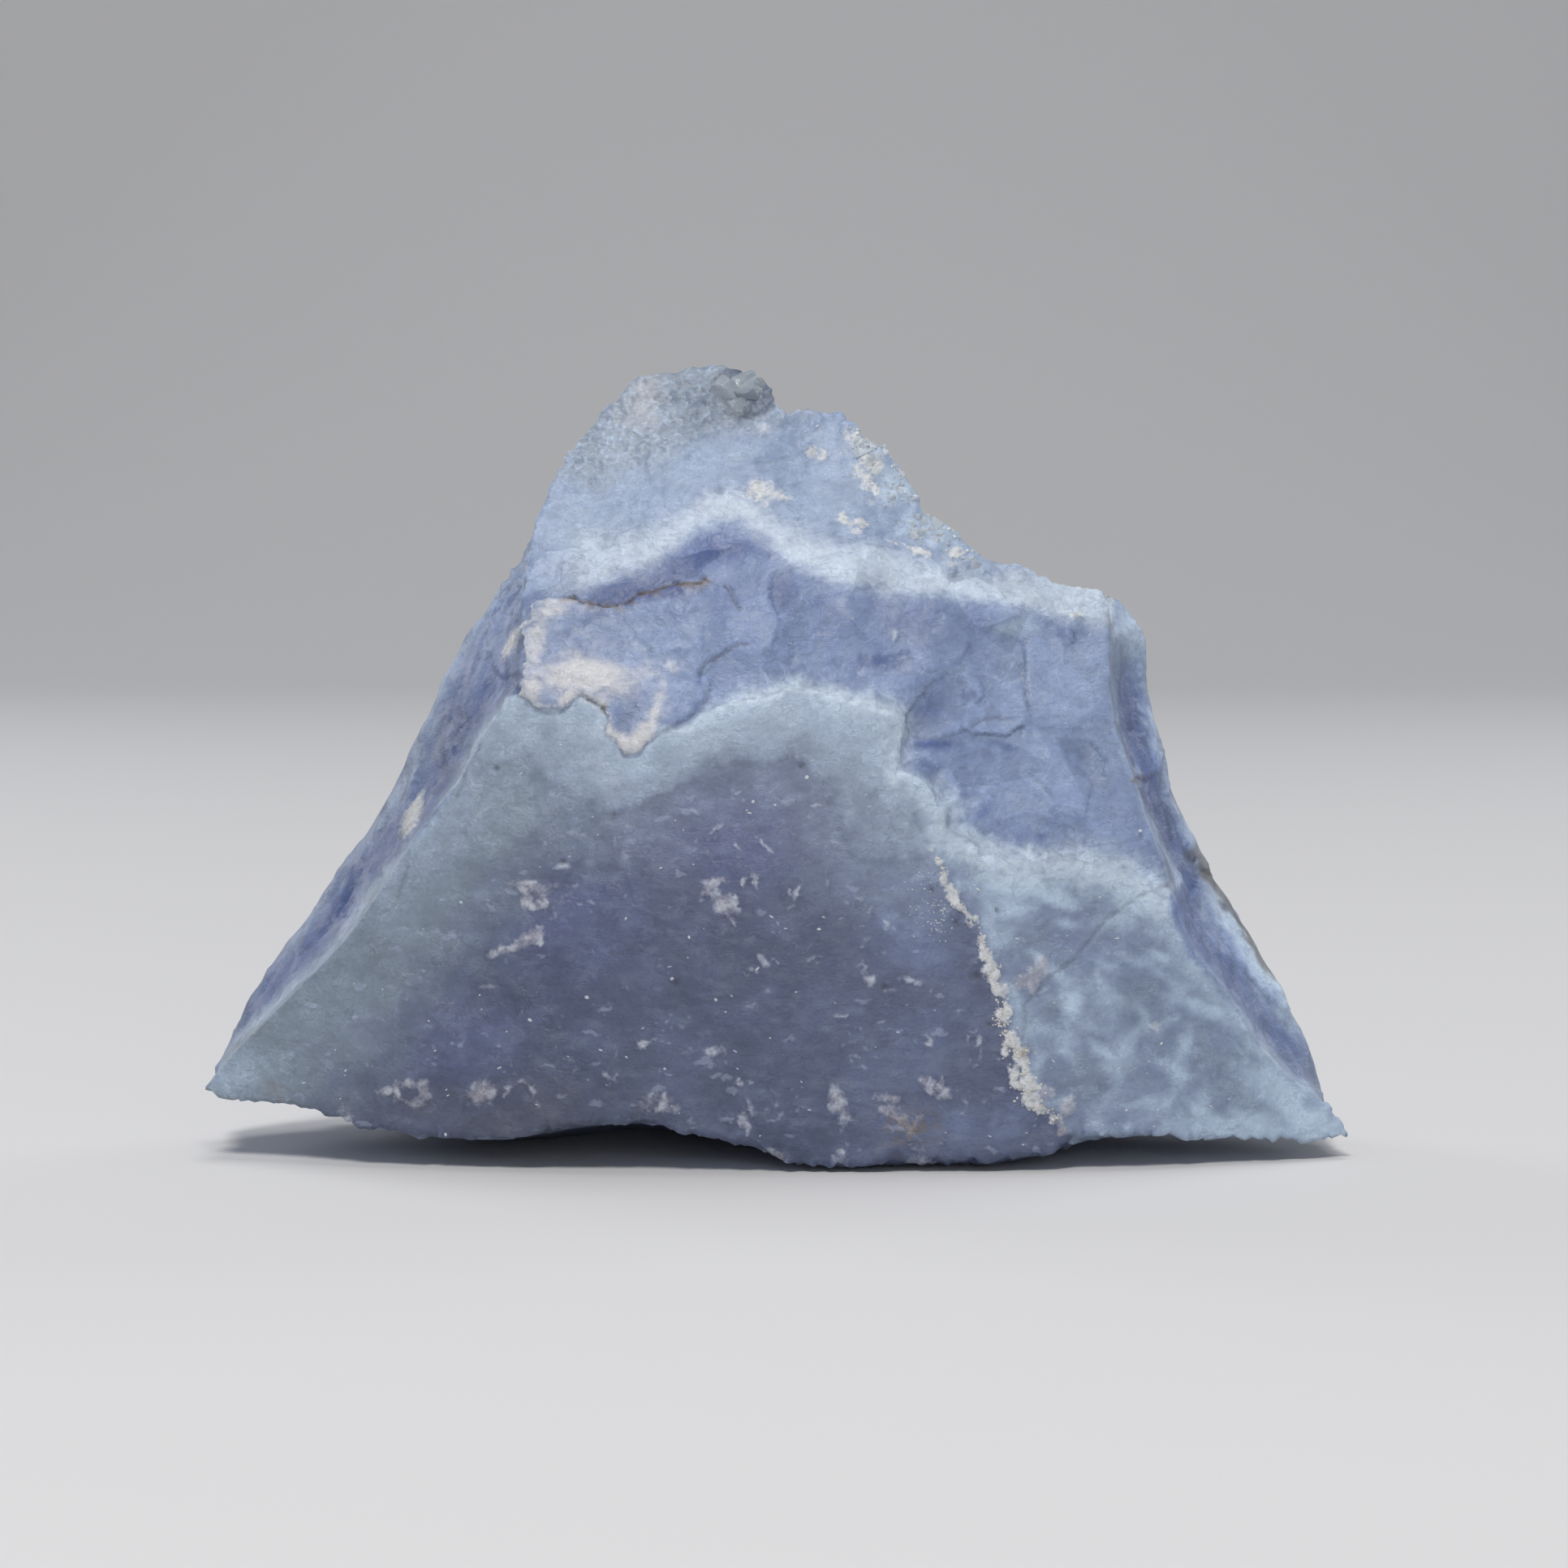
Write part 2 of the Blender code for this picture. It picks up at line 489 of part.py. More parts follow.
def triangulated(outline, points):
    """Triangles over the outline and the points inside it, numbered outline first."""
    plan = [Vector(p) for p in np.vstack([outline, points])]
    loop = list(range(len(outline)))
    result = delaunay_2d_cdt(plan, [], [loop], 1, 1e-7)
    verts, faces = result[0], result[2]
    if len(verts) != len(plan):
        raise ValueError("the outline crosses itself")
    return faces


def stone_mesh():
    outline = front_outline()
    plan = np.vstack([outline, plan_grid(outline, FRONT_STEP, feature_points(), SEED)])
    faces = [list(face) for face in triangulated(outline, plan[len(outline):])]
    depth = front_depth(plan)
    front = np.column_stack([plan[:, 0], depth, plan[:, 1]])
    ring_size = len(outline)

    waist = waist_ring(front[:ring_size])
    rings = side_rings(front[:ring_size], waist, back_ring(waist))
    points = [front]
    previous = np.arange(ring_size)
    total = len(front)
    for ring in rings[1:]:
        current = total + np.arange(ring_size)
        points.append(ring)
        total += ring_size
        for a in range(ring_size):
            b = (a + 1) % ring_size
            faces.append([previous[a], previous[b], current[b], current[a]])
        previous = current

    back_outline = rings[-1][:, [0, 2]]
    inner = plan_grid(back_outline, BACK_STEP, np.zeros((0, 2)), SEED + 1)
    points.append(np.column_stack([inner[:, 0], back_depth(inner), inner[:, 1]]))
    numbers = np.concatenate([previous, total + np.arange(len(inner))])
    faces += [[numbers[i] for i in face] for face in triangulated(back_outline, inner)]
    return np.vstack(points), faces


def mesh_object(name, points, faces):
    mesh = bpy.data.meshes.new(name)
    mesh.from_pydata([tuple(p) for p in points], [], [[int(i) for i in face] for face in faces])
    obj = bpy.data.objects.new(name, mesh)
    bpy.context.scene.collection.objects.link(obj)
    shape = bmesh.new()
    shape.from_mesh(mesh)
    bmesh.ops.triangulate(shape, faces=shape.faces[:])
    bmesh.ops.recalc_face_normals(shape, faces=shape.faces[:])
    shape.to_mesh(mesh)
    shape.free()
    return obj


def crystal(place, axis, size, turn):
    """One stubby six-sided quartz crystal with a pointed end, rooted below its place."""
    side = axis.orthogonal().normalized()
    across = axis.cross(side)
    rim = []
    for number in range(CRYSTAL_SIDES):
        angle = turn + math.tau * number / CRYSTAL_SIDES
        rim.append((side * math.cos(angle) + across * math.sin(angle)) * size * CRYSTAL_RADIUS)
    root = place + axis * size * CRYSTAL_ROOT
    shoulder = place + axis * size * CRYSTAL_SHOULDER
    points = [root + r for r in rim] + [shoulder + r for r in rim] + [place + axis * size * CRYSTAL_TIP]
    faces = [list(range(CRYSTAL_SIDES))[::-1]]
    for a in range(CRYSTAL_SIDES):
        b = (a + 1) % CRYSTAL_SIDES
        faces.append([a, b, b + CRYSTAL_SIDES, a + CRYSTAL_SIDES])
        faces.append([a + CRYSTAL_SIDES, b + CRYSTAL_SIDES, 2 * CRYSTAL_SIDES])
    return points, faces


def crest_crystals(stone):
    """The druse: crystals scattered along stretches of the crest, all in one mesh, rooted in the stone."""
    random = np.random.default_rng(SEED + 2)
    surface = BVHTree.FromObject(stone, bpy.context.evaluated_depsgraph_get())
    crest = np.array(CREST)
    line = along(np.column_stack([crest[:, 0], front_depth(crest), crest[:, 1]]), CREST_SAMPLES)
    points, faces = [], []
    inward = Vector((0, 1, -1)).normalized()
    across = np.array([0, 1, 1]) / math.sqrt(2)
    for start, end, count in CRYSTAL_STRETCHES:
        for number in range(count):
            share = start + (end - start) * (number + random.uniform(0, 1)) / count
            place = line[int(share * (CREST_SAMPLES - 1))] + across * random.uniform(*CRYSTAL_SPREAD)
            lean = Vector([random.uniform(*reach) for reach in CRYSTAL_LEAN]).normalized()
            size = random.uniform(*CRYSTAL_SIZE)
            turn = random.uniform(0, 1)
            root = surface.ray_cast(Vector(place) - CAST_DISTANCE * inward, inward)[0]
            if root is None:
                continue
            more_points, more_faces = crystal(root - CRYSTAL_SINK * size * lean, lean, size, turn)
            faces += [[i + len(points) for i in face] for face in more_faces]
            points += more_points
    return mesh_object("crest_crystals", points, faces)


def join(target, other):
    """Fuses the other object into the target and leaves one closed mesh."""
    other.hide_render = True
    other.display_type = "WIRE"
    union = target.modifiers.new("druse", "BOOLEAN")
    union.operation = "UNION"
    union.solver = "EXACT"
    union.use_self = True
    union.object = other
    graph = bpy.context.evaluated_depsgraph_get()
    fused = bpy.data.meshes.new_from_object(target.evaluated_get(graph))
    target.modifiers.clear()
    target.data = fused
    bpy.data.objects.remove(other)


def fit_to_size(obj):
    """Brings the mesh to the driving dimensions, in metres, with its lowest middle at the origin."""
    points = np.array([v.co[:] for v in obj.data.vertices])
    low, high = points.min(axis=0), points.max(axis=0)
    size = np.array([LENGTH, DEPTH, HEIGHT]) * MM
    middle = np.array([(low[0] + high[0]) / 2, (low[1] + high[1]) / 2, low[2]])
    points = (points - middle) * size / (high - low)
    obj.data.vertices.foreach_set("co", points.astype(np.float32).ravel())
    obj.data.update()


def stone_material():
    material = bpy.data.materials.new("blue_chalcedony")
    material.use_nodes = True
    shader = material.node_tree.nodes["Principled BSDF"]
    shader.inputs["Base Color"].default_value = STONE_COLOUR
    shader.inputs["Roughness"].default_value = STONE_ROUGHNESS
    shader.inputs["Metallic"].default_value = 0.0
    return material


clear_scene()
noise.seed_set(SEED)
stone = mesh_object("chalcedony_stone", *stone_mesh())
join(stone, crest_crystals(stone))
fit_to_size(stone)
stone.data.materials.clear()
stone.data.materials.append(stone_material())
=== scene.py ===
import math
import bmesh
import bpy
import numpy as np
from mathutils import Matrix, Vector, noise
from mathutils.bvhtree import BVHTree


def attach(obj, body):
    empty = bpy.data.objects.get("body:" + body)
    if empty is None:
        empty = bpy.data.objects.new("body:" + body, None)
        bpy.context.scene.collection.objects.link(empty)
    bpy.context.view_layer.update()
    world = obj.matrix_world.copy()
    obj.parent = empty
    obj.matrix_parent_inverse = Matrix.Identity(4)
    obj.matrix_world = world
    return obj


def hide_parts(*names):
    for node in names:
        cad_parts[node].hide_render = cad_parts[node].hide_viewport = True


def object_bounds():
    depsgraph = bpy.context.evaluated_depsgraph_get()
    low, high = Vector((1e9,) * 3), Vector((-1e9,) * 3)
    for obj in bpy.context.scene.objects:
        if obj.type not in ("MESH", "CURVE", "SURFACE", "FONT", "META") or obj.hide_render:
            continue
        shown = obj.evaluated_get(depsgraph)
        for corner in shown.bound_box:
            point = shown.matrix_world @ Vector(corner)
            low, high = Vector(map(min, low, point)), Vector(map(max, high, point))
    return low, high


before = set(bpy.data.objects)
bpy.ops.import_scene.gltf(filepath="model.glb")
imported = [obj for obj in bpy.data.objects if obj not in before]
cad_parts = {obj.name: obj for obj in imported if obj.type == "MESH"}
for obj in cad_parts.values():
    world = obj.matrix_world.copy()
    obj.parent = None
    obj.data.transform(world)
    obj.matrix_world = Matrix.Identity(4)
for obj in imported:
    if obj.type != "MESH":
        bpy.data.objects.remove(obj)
cadBox = [list(corner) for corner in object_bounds()]
mm = 0.001
noise.seed_set(7)

# The view: the marks below are placed where this camera sees them, in a picture of 1932 x 1932 pixels
view = {"place": (0.65, -430.4, 65.85), "tilt": 4.354, "lens": 107.9, "sensor": 36.0, "picture": 1932}
viewScale = view["lens"] / view["sensor"] * view["picture"]
viewMiddle = view["picture"] / 2
viewTurn = math.radians(view["tilt"])
viewAhead = Vector((0, math.cos(viewTurn), -math.sin(viewTurn)))
viewUp = Vector((0, math.sin(viewTurn), math.cos(viewTurn)))
pixelsPerMm = 14.0


def picturePlace(points):
    away = points - np.array(view["place"])
    depth = away[:, 1] * math.cos(viewTurn) - away[:, 2] * math.sin(viewTurn)
    rise = away[:, 1] * math.sin(viewTurn) + away[:, 2] * math.cos(viewTurn)
    x, y = away[:, 0] / depth * viewScale, rise / depth * viewScale
    return np.column_stack([viewMiddle + x, viewMiddle - y])


def facingView(points, normals):
    toView = np.array(view["place"]) - points
    toView /= np.linalg.norm(toView, axis=1)[:, None]
    return (toView * normals).sum(axis=1)


# Number tools
roughGain = 1.6   # brings Blender's noise to about -1 to 1


def ramp(value, start=0.0, end=1.0):
    share = np.clip((value - start) / (end - start), 0, 1)
    return share * share * (3 - 2 * share)


def bell(gap, width):
    # 1 where the gap is nothing, fading away over the width
    return np.exp(-(gap / width) ** 2)


def signedGap(spot, line):
    # how far each point lies from a line, + on its left as seen and - on its right
    gap, side, _ = lineGap(spot, line)
    return gap * side


def rough(points, size, seed):
    # smooth noise with lumps of about the given size
    shift = Vector((17.3 * seed, -9.1 * seed, 4.7 * seed))
    return np.array([noise.noise(Vector(p) / size + shift) for p in points]) * roughGain


def roughWays(points, size, seed, count=2):
    # two or three noises side by side, to shift places with
    return np.column_stack([rough(points, size, seed + k) for k in range(count)])


def flatChips(points, size, seed):
    # flat chips that meet in ridges: the height on each chip's slope, and a number of its own for each chip
    shift = Vector((seed, 2.3 * seed, -seed))
    heights, numbers = [], []
    for p in points:
        place = Vector(p) / size + shift
        nearest = noise.voronoi(place)[1][0]
        slope = noise.noise_vector(nearest * 3.1)
        heights.append((place - nearest).dot(slope))
        numbers.append(slope.z)
    return np.array(heights), np.array(numbers)


def chipped(points, size, seed):
    return flatChips(points, size, seed)[0]


def dished(points, size, seed):
    # shallow bowls that meet in ridges, and the distance from each bowl's middle
    shift = Vector((3.7 * seed, -1.9 * seed, seed))
    depths = np.array([noise.voronoi(Vector(p) / size + shift)[0][0] for p in points])
    return 1 - np.minimum(depths, 1.2) ** 2, depths


def lineGap(spot, line, reach=None):
    # how far each point lies from an open line, which side it is on (+1 left as seen) and how far along;
    # with a reach, points farther than that from the line's frame count as endlessly far
    line = np.array(line, float)
    best, side, place = np.full(len(spot), 1e9), np.ones(len(spot)), np.zeros(len(spot))
    if reach is not None:
        close = ((spot > line.min(axis=0) - reach) & (spot < line.max(axis=0) + reach)).all(axis=1)
        best[close], side[close], place[close] = lineGap(spot[close], line)
        return best, side, place
    start, run = line[:-1], np.diff(line, axis=0)
    total = np.linalg.norm(run, axis=1)
    passed = np.concatenate([[0], np.cumsum(total)])
    for k in range(len(run)):
        offset = spot - start[k]
        share = np.clip(offset @ run[k] / (run[k] @ run[k]), 0, 1)
        gap = np.linalg.norm(offset - share[:, None] * run[k], axis=1)
        closer = gap < best
        best = np.where(closer, gap, best)
        turn = run[k][1] * offset[:, 0] - run[k][0] * offset[:, 1]
        side = np.where(closer, np.where(turn > 0, 1.0, -1.0), side)
        place = np.where(closer, (passed[k] + share * total[k]) / passed[-1], place)
    return best, side, place


def shapeGap(spot, outline, reach=None):
    # signed distance to a closed outline, + inside
    outline = np.array(outline, float)
    odd = np.zeros(len(spot), bool)
    for (ax, ay), (bx, by) in zip(outline, np.roll(outline, -1, axis=0)):
        spans = (ay > spot[:, 1]) != (by > spot[:, 1])
        if ay != by:
            odd ^= spans & (spot[:, 0] < ax + (spot[:, 1] - ay) * (bx - ax) / (by - ay))
    gap = lineGap(spot, np.vstack([outline, outline[:1]]), reach)[0]
    return np.where(odd, gap, -gap)


def blobs(spot, shapes):
    # soft ellipses, each (x, y, half length, half width, turn in degrees, strength)
    total = np.zeros(len(spot))
    for x, y, long, wide, turn, strength in shapes:
        c, s = math.cos(math.radians(turn)), math.sin(math.radians(turn))
        u = ((spot[:, 0] - x) * c + (spot[:, 1] - y) * s) / long
        v = (-(spot[:, 0] - x) * s + (spot[:, 1] - y) * c) / wide
        total = np.maximum(total, strength * np.exp(-(u * u + v * v)))
    return total


# Mesh tools: a surface is an array of points and an array of triangles
def mergedSolid(node):
    shape = bmesh.new()
    shape.from_mesh(node.data)
    bmesh.ops.remove_doubles(shape, verts=shape.verts[:], dist=cut["merge"])
    bmesh.ops.triangulate(shape, faces=shape.faces[:])
    points = np.array([v.co[:] for v in shape.verts]) / mm
    faces = np.array([[v.index for v in f.verts] for f in shape.faces])
    shape.free()
    return points, faces


def faceNormals(points, faces):
    a, b, c = (points[faces[:, k], :3] for k in range(3))
    return np.cross(b - a, c - a)


def unit(vectors):
    return vectors / np.maximum(np.linalg.norm(vectors, axis=1), 1e-12)[:, None]


def vertexNormals(points, faces):
    normals = faceNormals(points, faces)
    total = np.zeros((len(points), 3))
    for corner in range(3):
        for axis in range(3):
            total[:, axis] += np.bincount(faces[:, corner], normals[:, axis], len(points))
    return unit(total)


def edgeSharpness(points, faces):
    # 0 on smooth ground, 1 on a vertex where faces meet sharply
    normals, mean = unit(faceNormals(points, faces)), vertexNormals(points, faces)
    bend = np.ones(len(points))
    for corner in range(3):
        np.minimum.at(bend, faces[:, corner], (normals * mean[faces[:, corner]]).sum(axis=1))
    return ramp(np.degrees(np.arccos(np.clip(bend, -1, 1))), *cut["sharp"])


def splitLong(points, faces, reach):
    # cuts every edge longer than the mean reach of its two ends; extra columns of points are averaged
    count = len(points)
    ends = np.sort(np.stack([faces, np.roll(faces, -1, axis=1)], axis=2), axis=2)
    keys, inverse = np.unique(ends[..., 0].astype(np.int64) * count + ends[..., 1], return_inverse=True)
    a, b = keys // count, keys % count
    tooLong = np.linalg.norm(points[a, :3] - points[b, :3], axis=1) > (reach[a] + reach[b]) / 2
    number = np.full(len(keys), -1)
    number[tooLong] = count + np.arange(tooLong.sum())
    points = np.vstack([points, (points[a[tooLong]] + points[b[tooLong]]) / 2])
    middles = number[inverse.reshape(faces.shape)]
    cuts = (middles >= 0).sum(axis=1)
    made = [faces[cuts == 0]]

    def turned(rows, shift):
        order = (np.arange(3)[None] + shift[:, None]) % 3
        return np.take_along_axis(faces[rows], order, 1).T, np.take_along_axis(middles[rows], order, 1).T

    rows = cuts == 1
    (p, q, r), (m, _, _) = turned(rows, (middles[rows] >= 0).argmax(axis=1))
    made += [np.column_stack([p, m, r]), np.column_stack([m, q, r])]
    rows = cuts == 2
    (p, q, r), (m, n, _) = turned(rows, (middles[rows] < 0).argmax(axis=1) + 1)
    made.append(np.column_stack([m, q, n]))
    short = np.linalg.norm(points[p, :3] - points[n, :3], axis=1) < np.linalg.norm(
        points[m, :3] - points[r, :3], axis=1)
    made.append(np.where(short[:, None], np.column_stack([p, m, n]), np.column_stack([p, m, r])))
    made.append(np.where(short[:, None], np.column_stack([p, n, r]), np.column_stack([m, n, r])))
    rows = cuts == 3
    (p, q, r), (m, n, o) = turned(rows, np.zeros(rows.sum(), int))
    made += [np.column_stack(c) for c in ((p, m, o), (m, q, n), (o, n, r), (m, n, o))]
    return points, np.concatenate(made)


def relaxed(points, faces, amount, times):
    # each vertex drawn towards the mean of its neighbours
    size = len(points)
    pairs = np.sort(np.concatenate([faces[:, [0, 1]], faces[:, [1, 2]], faces[:, [2, 0]]]), axis=1)
    keys = np.unique(pairs[:, 0].astype(np.int64) * size + pairs[:, 1])
    a, b = keys // size, keys % size
    count = np.bincount(a, minlength=size) + np.bincount(b, minlength=size)
    for _ in range(times):
        for axis in range(3):
            column = points[:, axis]
            total = np.bincount(a, column[b], size) + np.bincount(b, column[a], size)
            points[:, axis] = column + amount * (total / count - column)
    return points


def linkedObject(name, data):
    obj = bpy.data.objects.new(name, data)
    bpy.context.scene.collection.objects.link(obj)
    return obj


def meshObject(name, points, faces, material):
    mesh = bpy.data.meshes.new(name)
    mesh.vertices.add(len(points))
    mesh.vertices.foreach_set("co", (points * mm).astype(np.float32).ravel())
    mesh.loops.add(3 * len(faces))
    mesh.loops.foreach_set("vertex_index", faces.astype(np.int32).ravel())
    mesh.polygons.add(len(faces))
    mesh.polygons.foreach_set("loop_start", np.arange(0, 3 * len(faces), 3, dtype=np.int32))
    mesh.polygons.foreach_set("use_smooth", np.ones(len(faces), bool))
    mesh.update(calc_edges=True)
    mesh.validate()
    mesh.materials.append(material)
    return linkedObject(name, mesh)


# Where the faces of the stone meet, in picture pixels
leftArris = [
    (250, 1330), (264, 1313), (296, 1277), (333, 1246), (366, 1213), (397, 1185), (420, 1156),
    (442, 1128), (453, 1100), (479, 1072), (509, 1041), (535, 1011), (560, 971), (588, 916), (607, 886),
    (623, 860), (640, 856), (647, 822), (647, 790), (643, 774), (642, 739), (643, 709), (649, 686),
    (654, 644),
]
rightArris = [
    (1372, 720), (1369, 772), (1369, 809), (1368, 841), (1372, 875), (1376, 900), (1382, 923),
    (1393, 951), (1400, 972), (1409, 995), (1419, 1015), (1427, 1040), (1441, 1060), (1453, 1084),
    (1440, 1107), (1440, 1128), (1456, 1152), (1463, 1176), (1479, 1192), (1491, 1197), (1505, 1221),
    (1522, 1244), (1545, 1272), (1564, 1291), (1576, 1310), (1592, 1327), (1611, 1339), (1636, 1356),
    (1690, 1400),
]
ledge = [
    (623, 861), (640, 856), (657, 864), (669, 872), (690, 875), (715, 855), (729, 861), (746, 875),
    (752, 887), (746, 905), (761, 917), (769, 927), (781, 928), (802, 910), (816, 894), (839, 896),
    (876, 873), (921, 859), (946, 855), (985, 843), (1029, 859), (1072, 864), (1097, 877), (1117, 880),
    (1118, 900), (1108, 928), (1108, 951), (1130, 953), (1148, 969), (1157, 990), (1173, 990),
    (1167, 1022), (1172, 1026), (1218, 1052), (1241, 1061), (1287, 1061), (1333, 1061), (1379, 1073),
    (1401, 1086), (1440, 1107),
]
lowerFace = leftArris[:16] + ledge + rightArris[15:] + [(1700, 1500), (230, 1500)]
leftOutline = [
    (262, 1310), (290, 1262), (330, 1200), (370, 1150), (400, 1105), (440, 1060), (470, 1010), (500, 960),
    (520, 905), (540, 860), (545, 835), (565, 800), (572, 775), (600, 745), (620, 715), (640, 690),
    (655, 650),
]
rightOutline = [
    (1380, 735), (1400, 748), (1415, 775), (1412, 815), (1418, 850), (1425, 900), (1437, 960),
    (1455, 1010), (1475, 1060), (1510, 1130), (1545, 1180), (1575, 1215), (1590, 1255), (1615, 1290),
    (1625, 1330), (1640, 1360),
]

# What the upper face carries
band = {
    "lower": [
        (640, 760), (702, 738), (732, 726), (778, 712), (819, 694), (835, 680), (858, 662), (888, 650),
        (911, 648), (927, 660), (945, 678), (968, 699), (1000, 712), (1038, 723), (1107, 737),
        (1176, 742), (1219, 749), (1276, 760), (1322, 772), (1366, 779), (1420, 800),
    ],
    "upper": [
        (640, 640), (720, 655), (778, 650), (824, 640), (847, 630), (881, 612), (916, 606), (939, 618),
        (961, 640), (1003, 662), (1061, 668), (1130, 692), (1176, 702), (1221, 700), (1300, 690),
        (1420, 690),
    ],
}
patch = {
    "outline": [
        (640, 856), (647, 822), (647, 790), (643, 774), (655, 765), (656, 749), (663, 739), (701, 739),
        (752, 749), (785, 735), (830, 721), (871, 713), (905, 740), (930, 790), (890, 808), (861, 832),
        (868, 860), (850, 883), (816, 903), (802, 910), (781, 928), (769, 927), (761, 917), (746, 905),
        (752, 887), (746, 875), (729, 861), (715, 855), (690, 875), (669, 872), (657, 864),
    ],
    "cream": [
        (717, 834, 66, 25, 3, 1.2), (655, 848, 15, 22, 0, 1.0), (662, 790, 16, 50, 4, 0.85),
        (680, 752, 24, 20, -30, 0.8), (700, 746, 40, 9, 0, 0.6), (699, 858, 18, 6, -44, 1.2),
        (752, 900, 9, 14, -30, 1.0), (768, 912, 22, 9, 35, 1.2), (794, 902, 26, 9, -44, 1.2),
        (778, 919, 24, 12, 0, 1.3), (807, 878, 9, 46, 18, 0.8), (800, 828, 22, 14, 0, 0.6),
        (732, 860, 26, 14, 30, 0.75), (728, 788, 42, 8, 30, 0.4), (790, 800, 30, 8, 20, 0.35),
        (832, 824, 12, 8, 20, 0.6),
    ],
    "lift": 0.35,
}
# Facets of the upper face: outline, tone against the ground (- is darker), depth in mm, and the way it
# deepens, in degrees clockwise from the right. The tone is painted light and shade: lighter where a facet
# faces the lamps, darker in the recess and where it turns away, a painted shadow in the band under the
# pale lobe, and painted highlights on the long flakes at the right
facets = [
    ([(1172, 820), (1148, 842), (1120, 878), (1116, 904), (1141, 914), (1176, 890), (1196, 866),
      (1186, 830)], -0.7, 0.26, 200),
    ([(1190, 872), (1214, 848), (1244, 838), (1262, 842), (1266, 872), (1258, 896), (1236, 906),
      (1190, 900)], 0.5, -0.22, 80),
    ([(1141, 910), (1190, 901), (1238, 907), (1262, 893), (1268, 905), (1240, 924), (1196, 916),
      (1160, 920)], -0.7, 0.30, 270),
    ([(1304, 911), (1344, 911), (1365, 936), (1360, 960), (1338, 962), (1318, 938)], -0.45, 0.30, 320),
    ([(1268, 896), (1300, 906), (1320, 940), (1345, 968), (1336, 1010), (1300, 1000), (1262, 960),
      (1250, 920)], 0.4, -0.20, 30),
    ([(1184, 828), (1206, 836), (1211, 858), (1205, 862)], 0.7, -0.40, 60),
    ([(1262, 790), (1300, 786), (1340, 800), (1366, 840), (1366, 890), (1320, 880), (1270, 884)],
     0.3, -0.15, 180),
    ([(952, 706), (975, 702), (990, 730), (982, 760), (960, 756), (946, 730)], -0.5, 0.25, 180),
    ([(1052, 802), (1085, 808), (1122, 800), (1118, 822), (1085, 828), (1058, 820)], -0.5, 0.22, 280),
    ([(1225, 800), (1248, 780), (1262, 790), (1262, 836), (1240, 842), (1226, 826)], -0.35, 0.22, 0),
    ([(1230, 1010), (1275, 1000), (1325, 1022), (1330, 1046), (1270, 1050), (1220, 1040)], -0.25, 0.22, 300),
    ([(905, 740), (945, 730), (960, 760), (950, 800), (915, 806), (893, 780)], 0.3, -0.14, 20),
    ([(1110, 700), (1180, 712), (1220, 730), (1200, 748), (1120, 738)], 0.15, 0.0, 0),
    ([(985, 790), (1030, 780), (1062, 800), (1050, 836), (1000, 842), (976, 820)], 0.3, -0.14, 140),
    ([(1120, 760), (1168, 756), (1200, 790), (1180, 816), (1140, 826), (1116, 796)], 0.25, -0.16, 60),
    ([(1160, 940), (1230, 930), (1262, 948), (1236, 978), (1180, 976)], 0.3, -0.16, 100),
    ([(785, 745), (835, 740), (872, 760), (862, 800), (812, 806), (780, 780)], 0.25, -0.12, 90),
    ([(1381, 905), (1393, 899), (1409, 925), (1426, 950), (1402, 961), (1390, 940)], 0.7, -0.22, 90),
    ([(1371, 790), (1388, 800), (1398, 850), (1407, 902), (1392, 905), (1380, 870)], -0.4, 0.26, 90),
    ([(1406, 962), (1428, 954), (1452, 1010), (1480, 1080), (1470, 1104), (1438, 1044)], -0.7, 0.30, 80),
    ([(1405, 766), (1415, 771), (1416, 819), (1410, 833), (1421, 862), (1434, 929), (1425, 953),
      (1415, 919), (1406, 871), (1404, 824)], 0.95, -0.24, 90),
    ([(1448, 986), (1460, 1005), (1480, 1044), (1492, 1077), (1474, 1063), (1458, 1034), (1446, 1001)],
     0.8, -0.24, 60),
    ([(1490, 1106), (1539, 1150), (1578, 1205), (1588, 1245), (1558, 1225), (1525, 1187), (1499, 1139)],
     1.0, -0.30, 50),
    ([(1530, 1202), (1582, 1249), (1616, 1283), (1624, 1312), (1637, 1350), (1602, 1326), (1575, 1305),
      (1539, 1245)], -0.85, 0.16, 50),
    ([(520, 915), (548, 850), (566, 860), (556, 920), (530, 975), (508, 985)], -0.4, 0.26, 110),
    ([(604, 750), (640, 700), (645, 760), (640, 830), (618, 836), (600, 800)], 0.3, -0.20, 100),
    ([(560, 850), (598, 800), (612, 840), (592, 884), (560, 930), (552, 890)], -0.3, 0.22, 100),
    ([(440, 1080), (480, 1010), (500, 1030), (470, 1080), (430, 1130), (412, 1132)], -0.3, 0.2, 120),
]
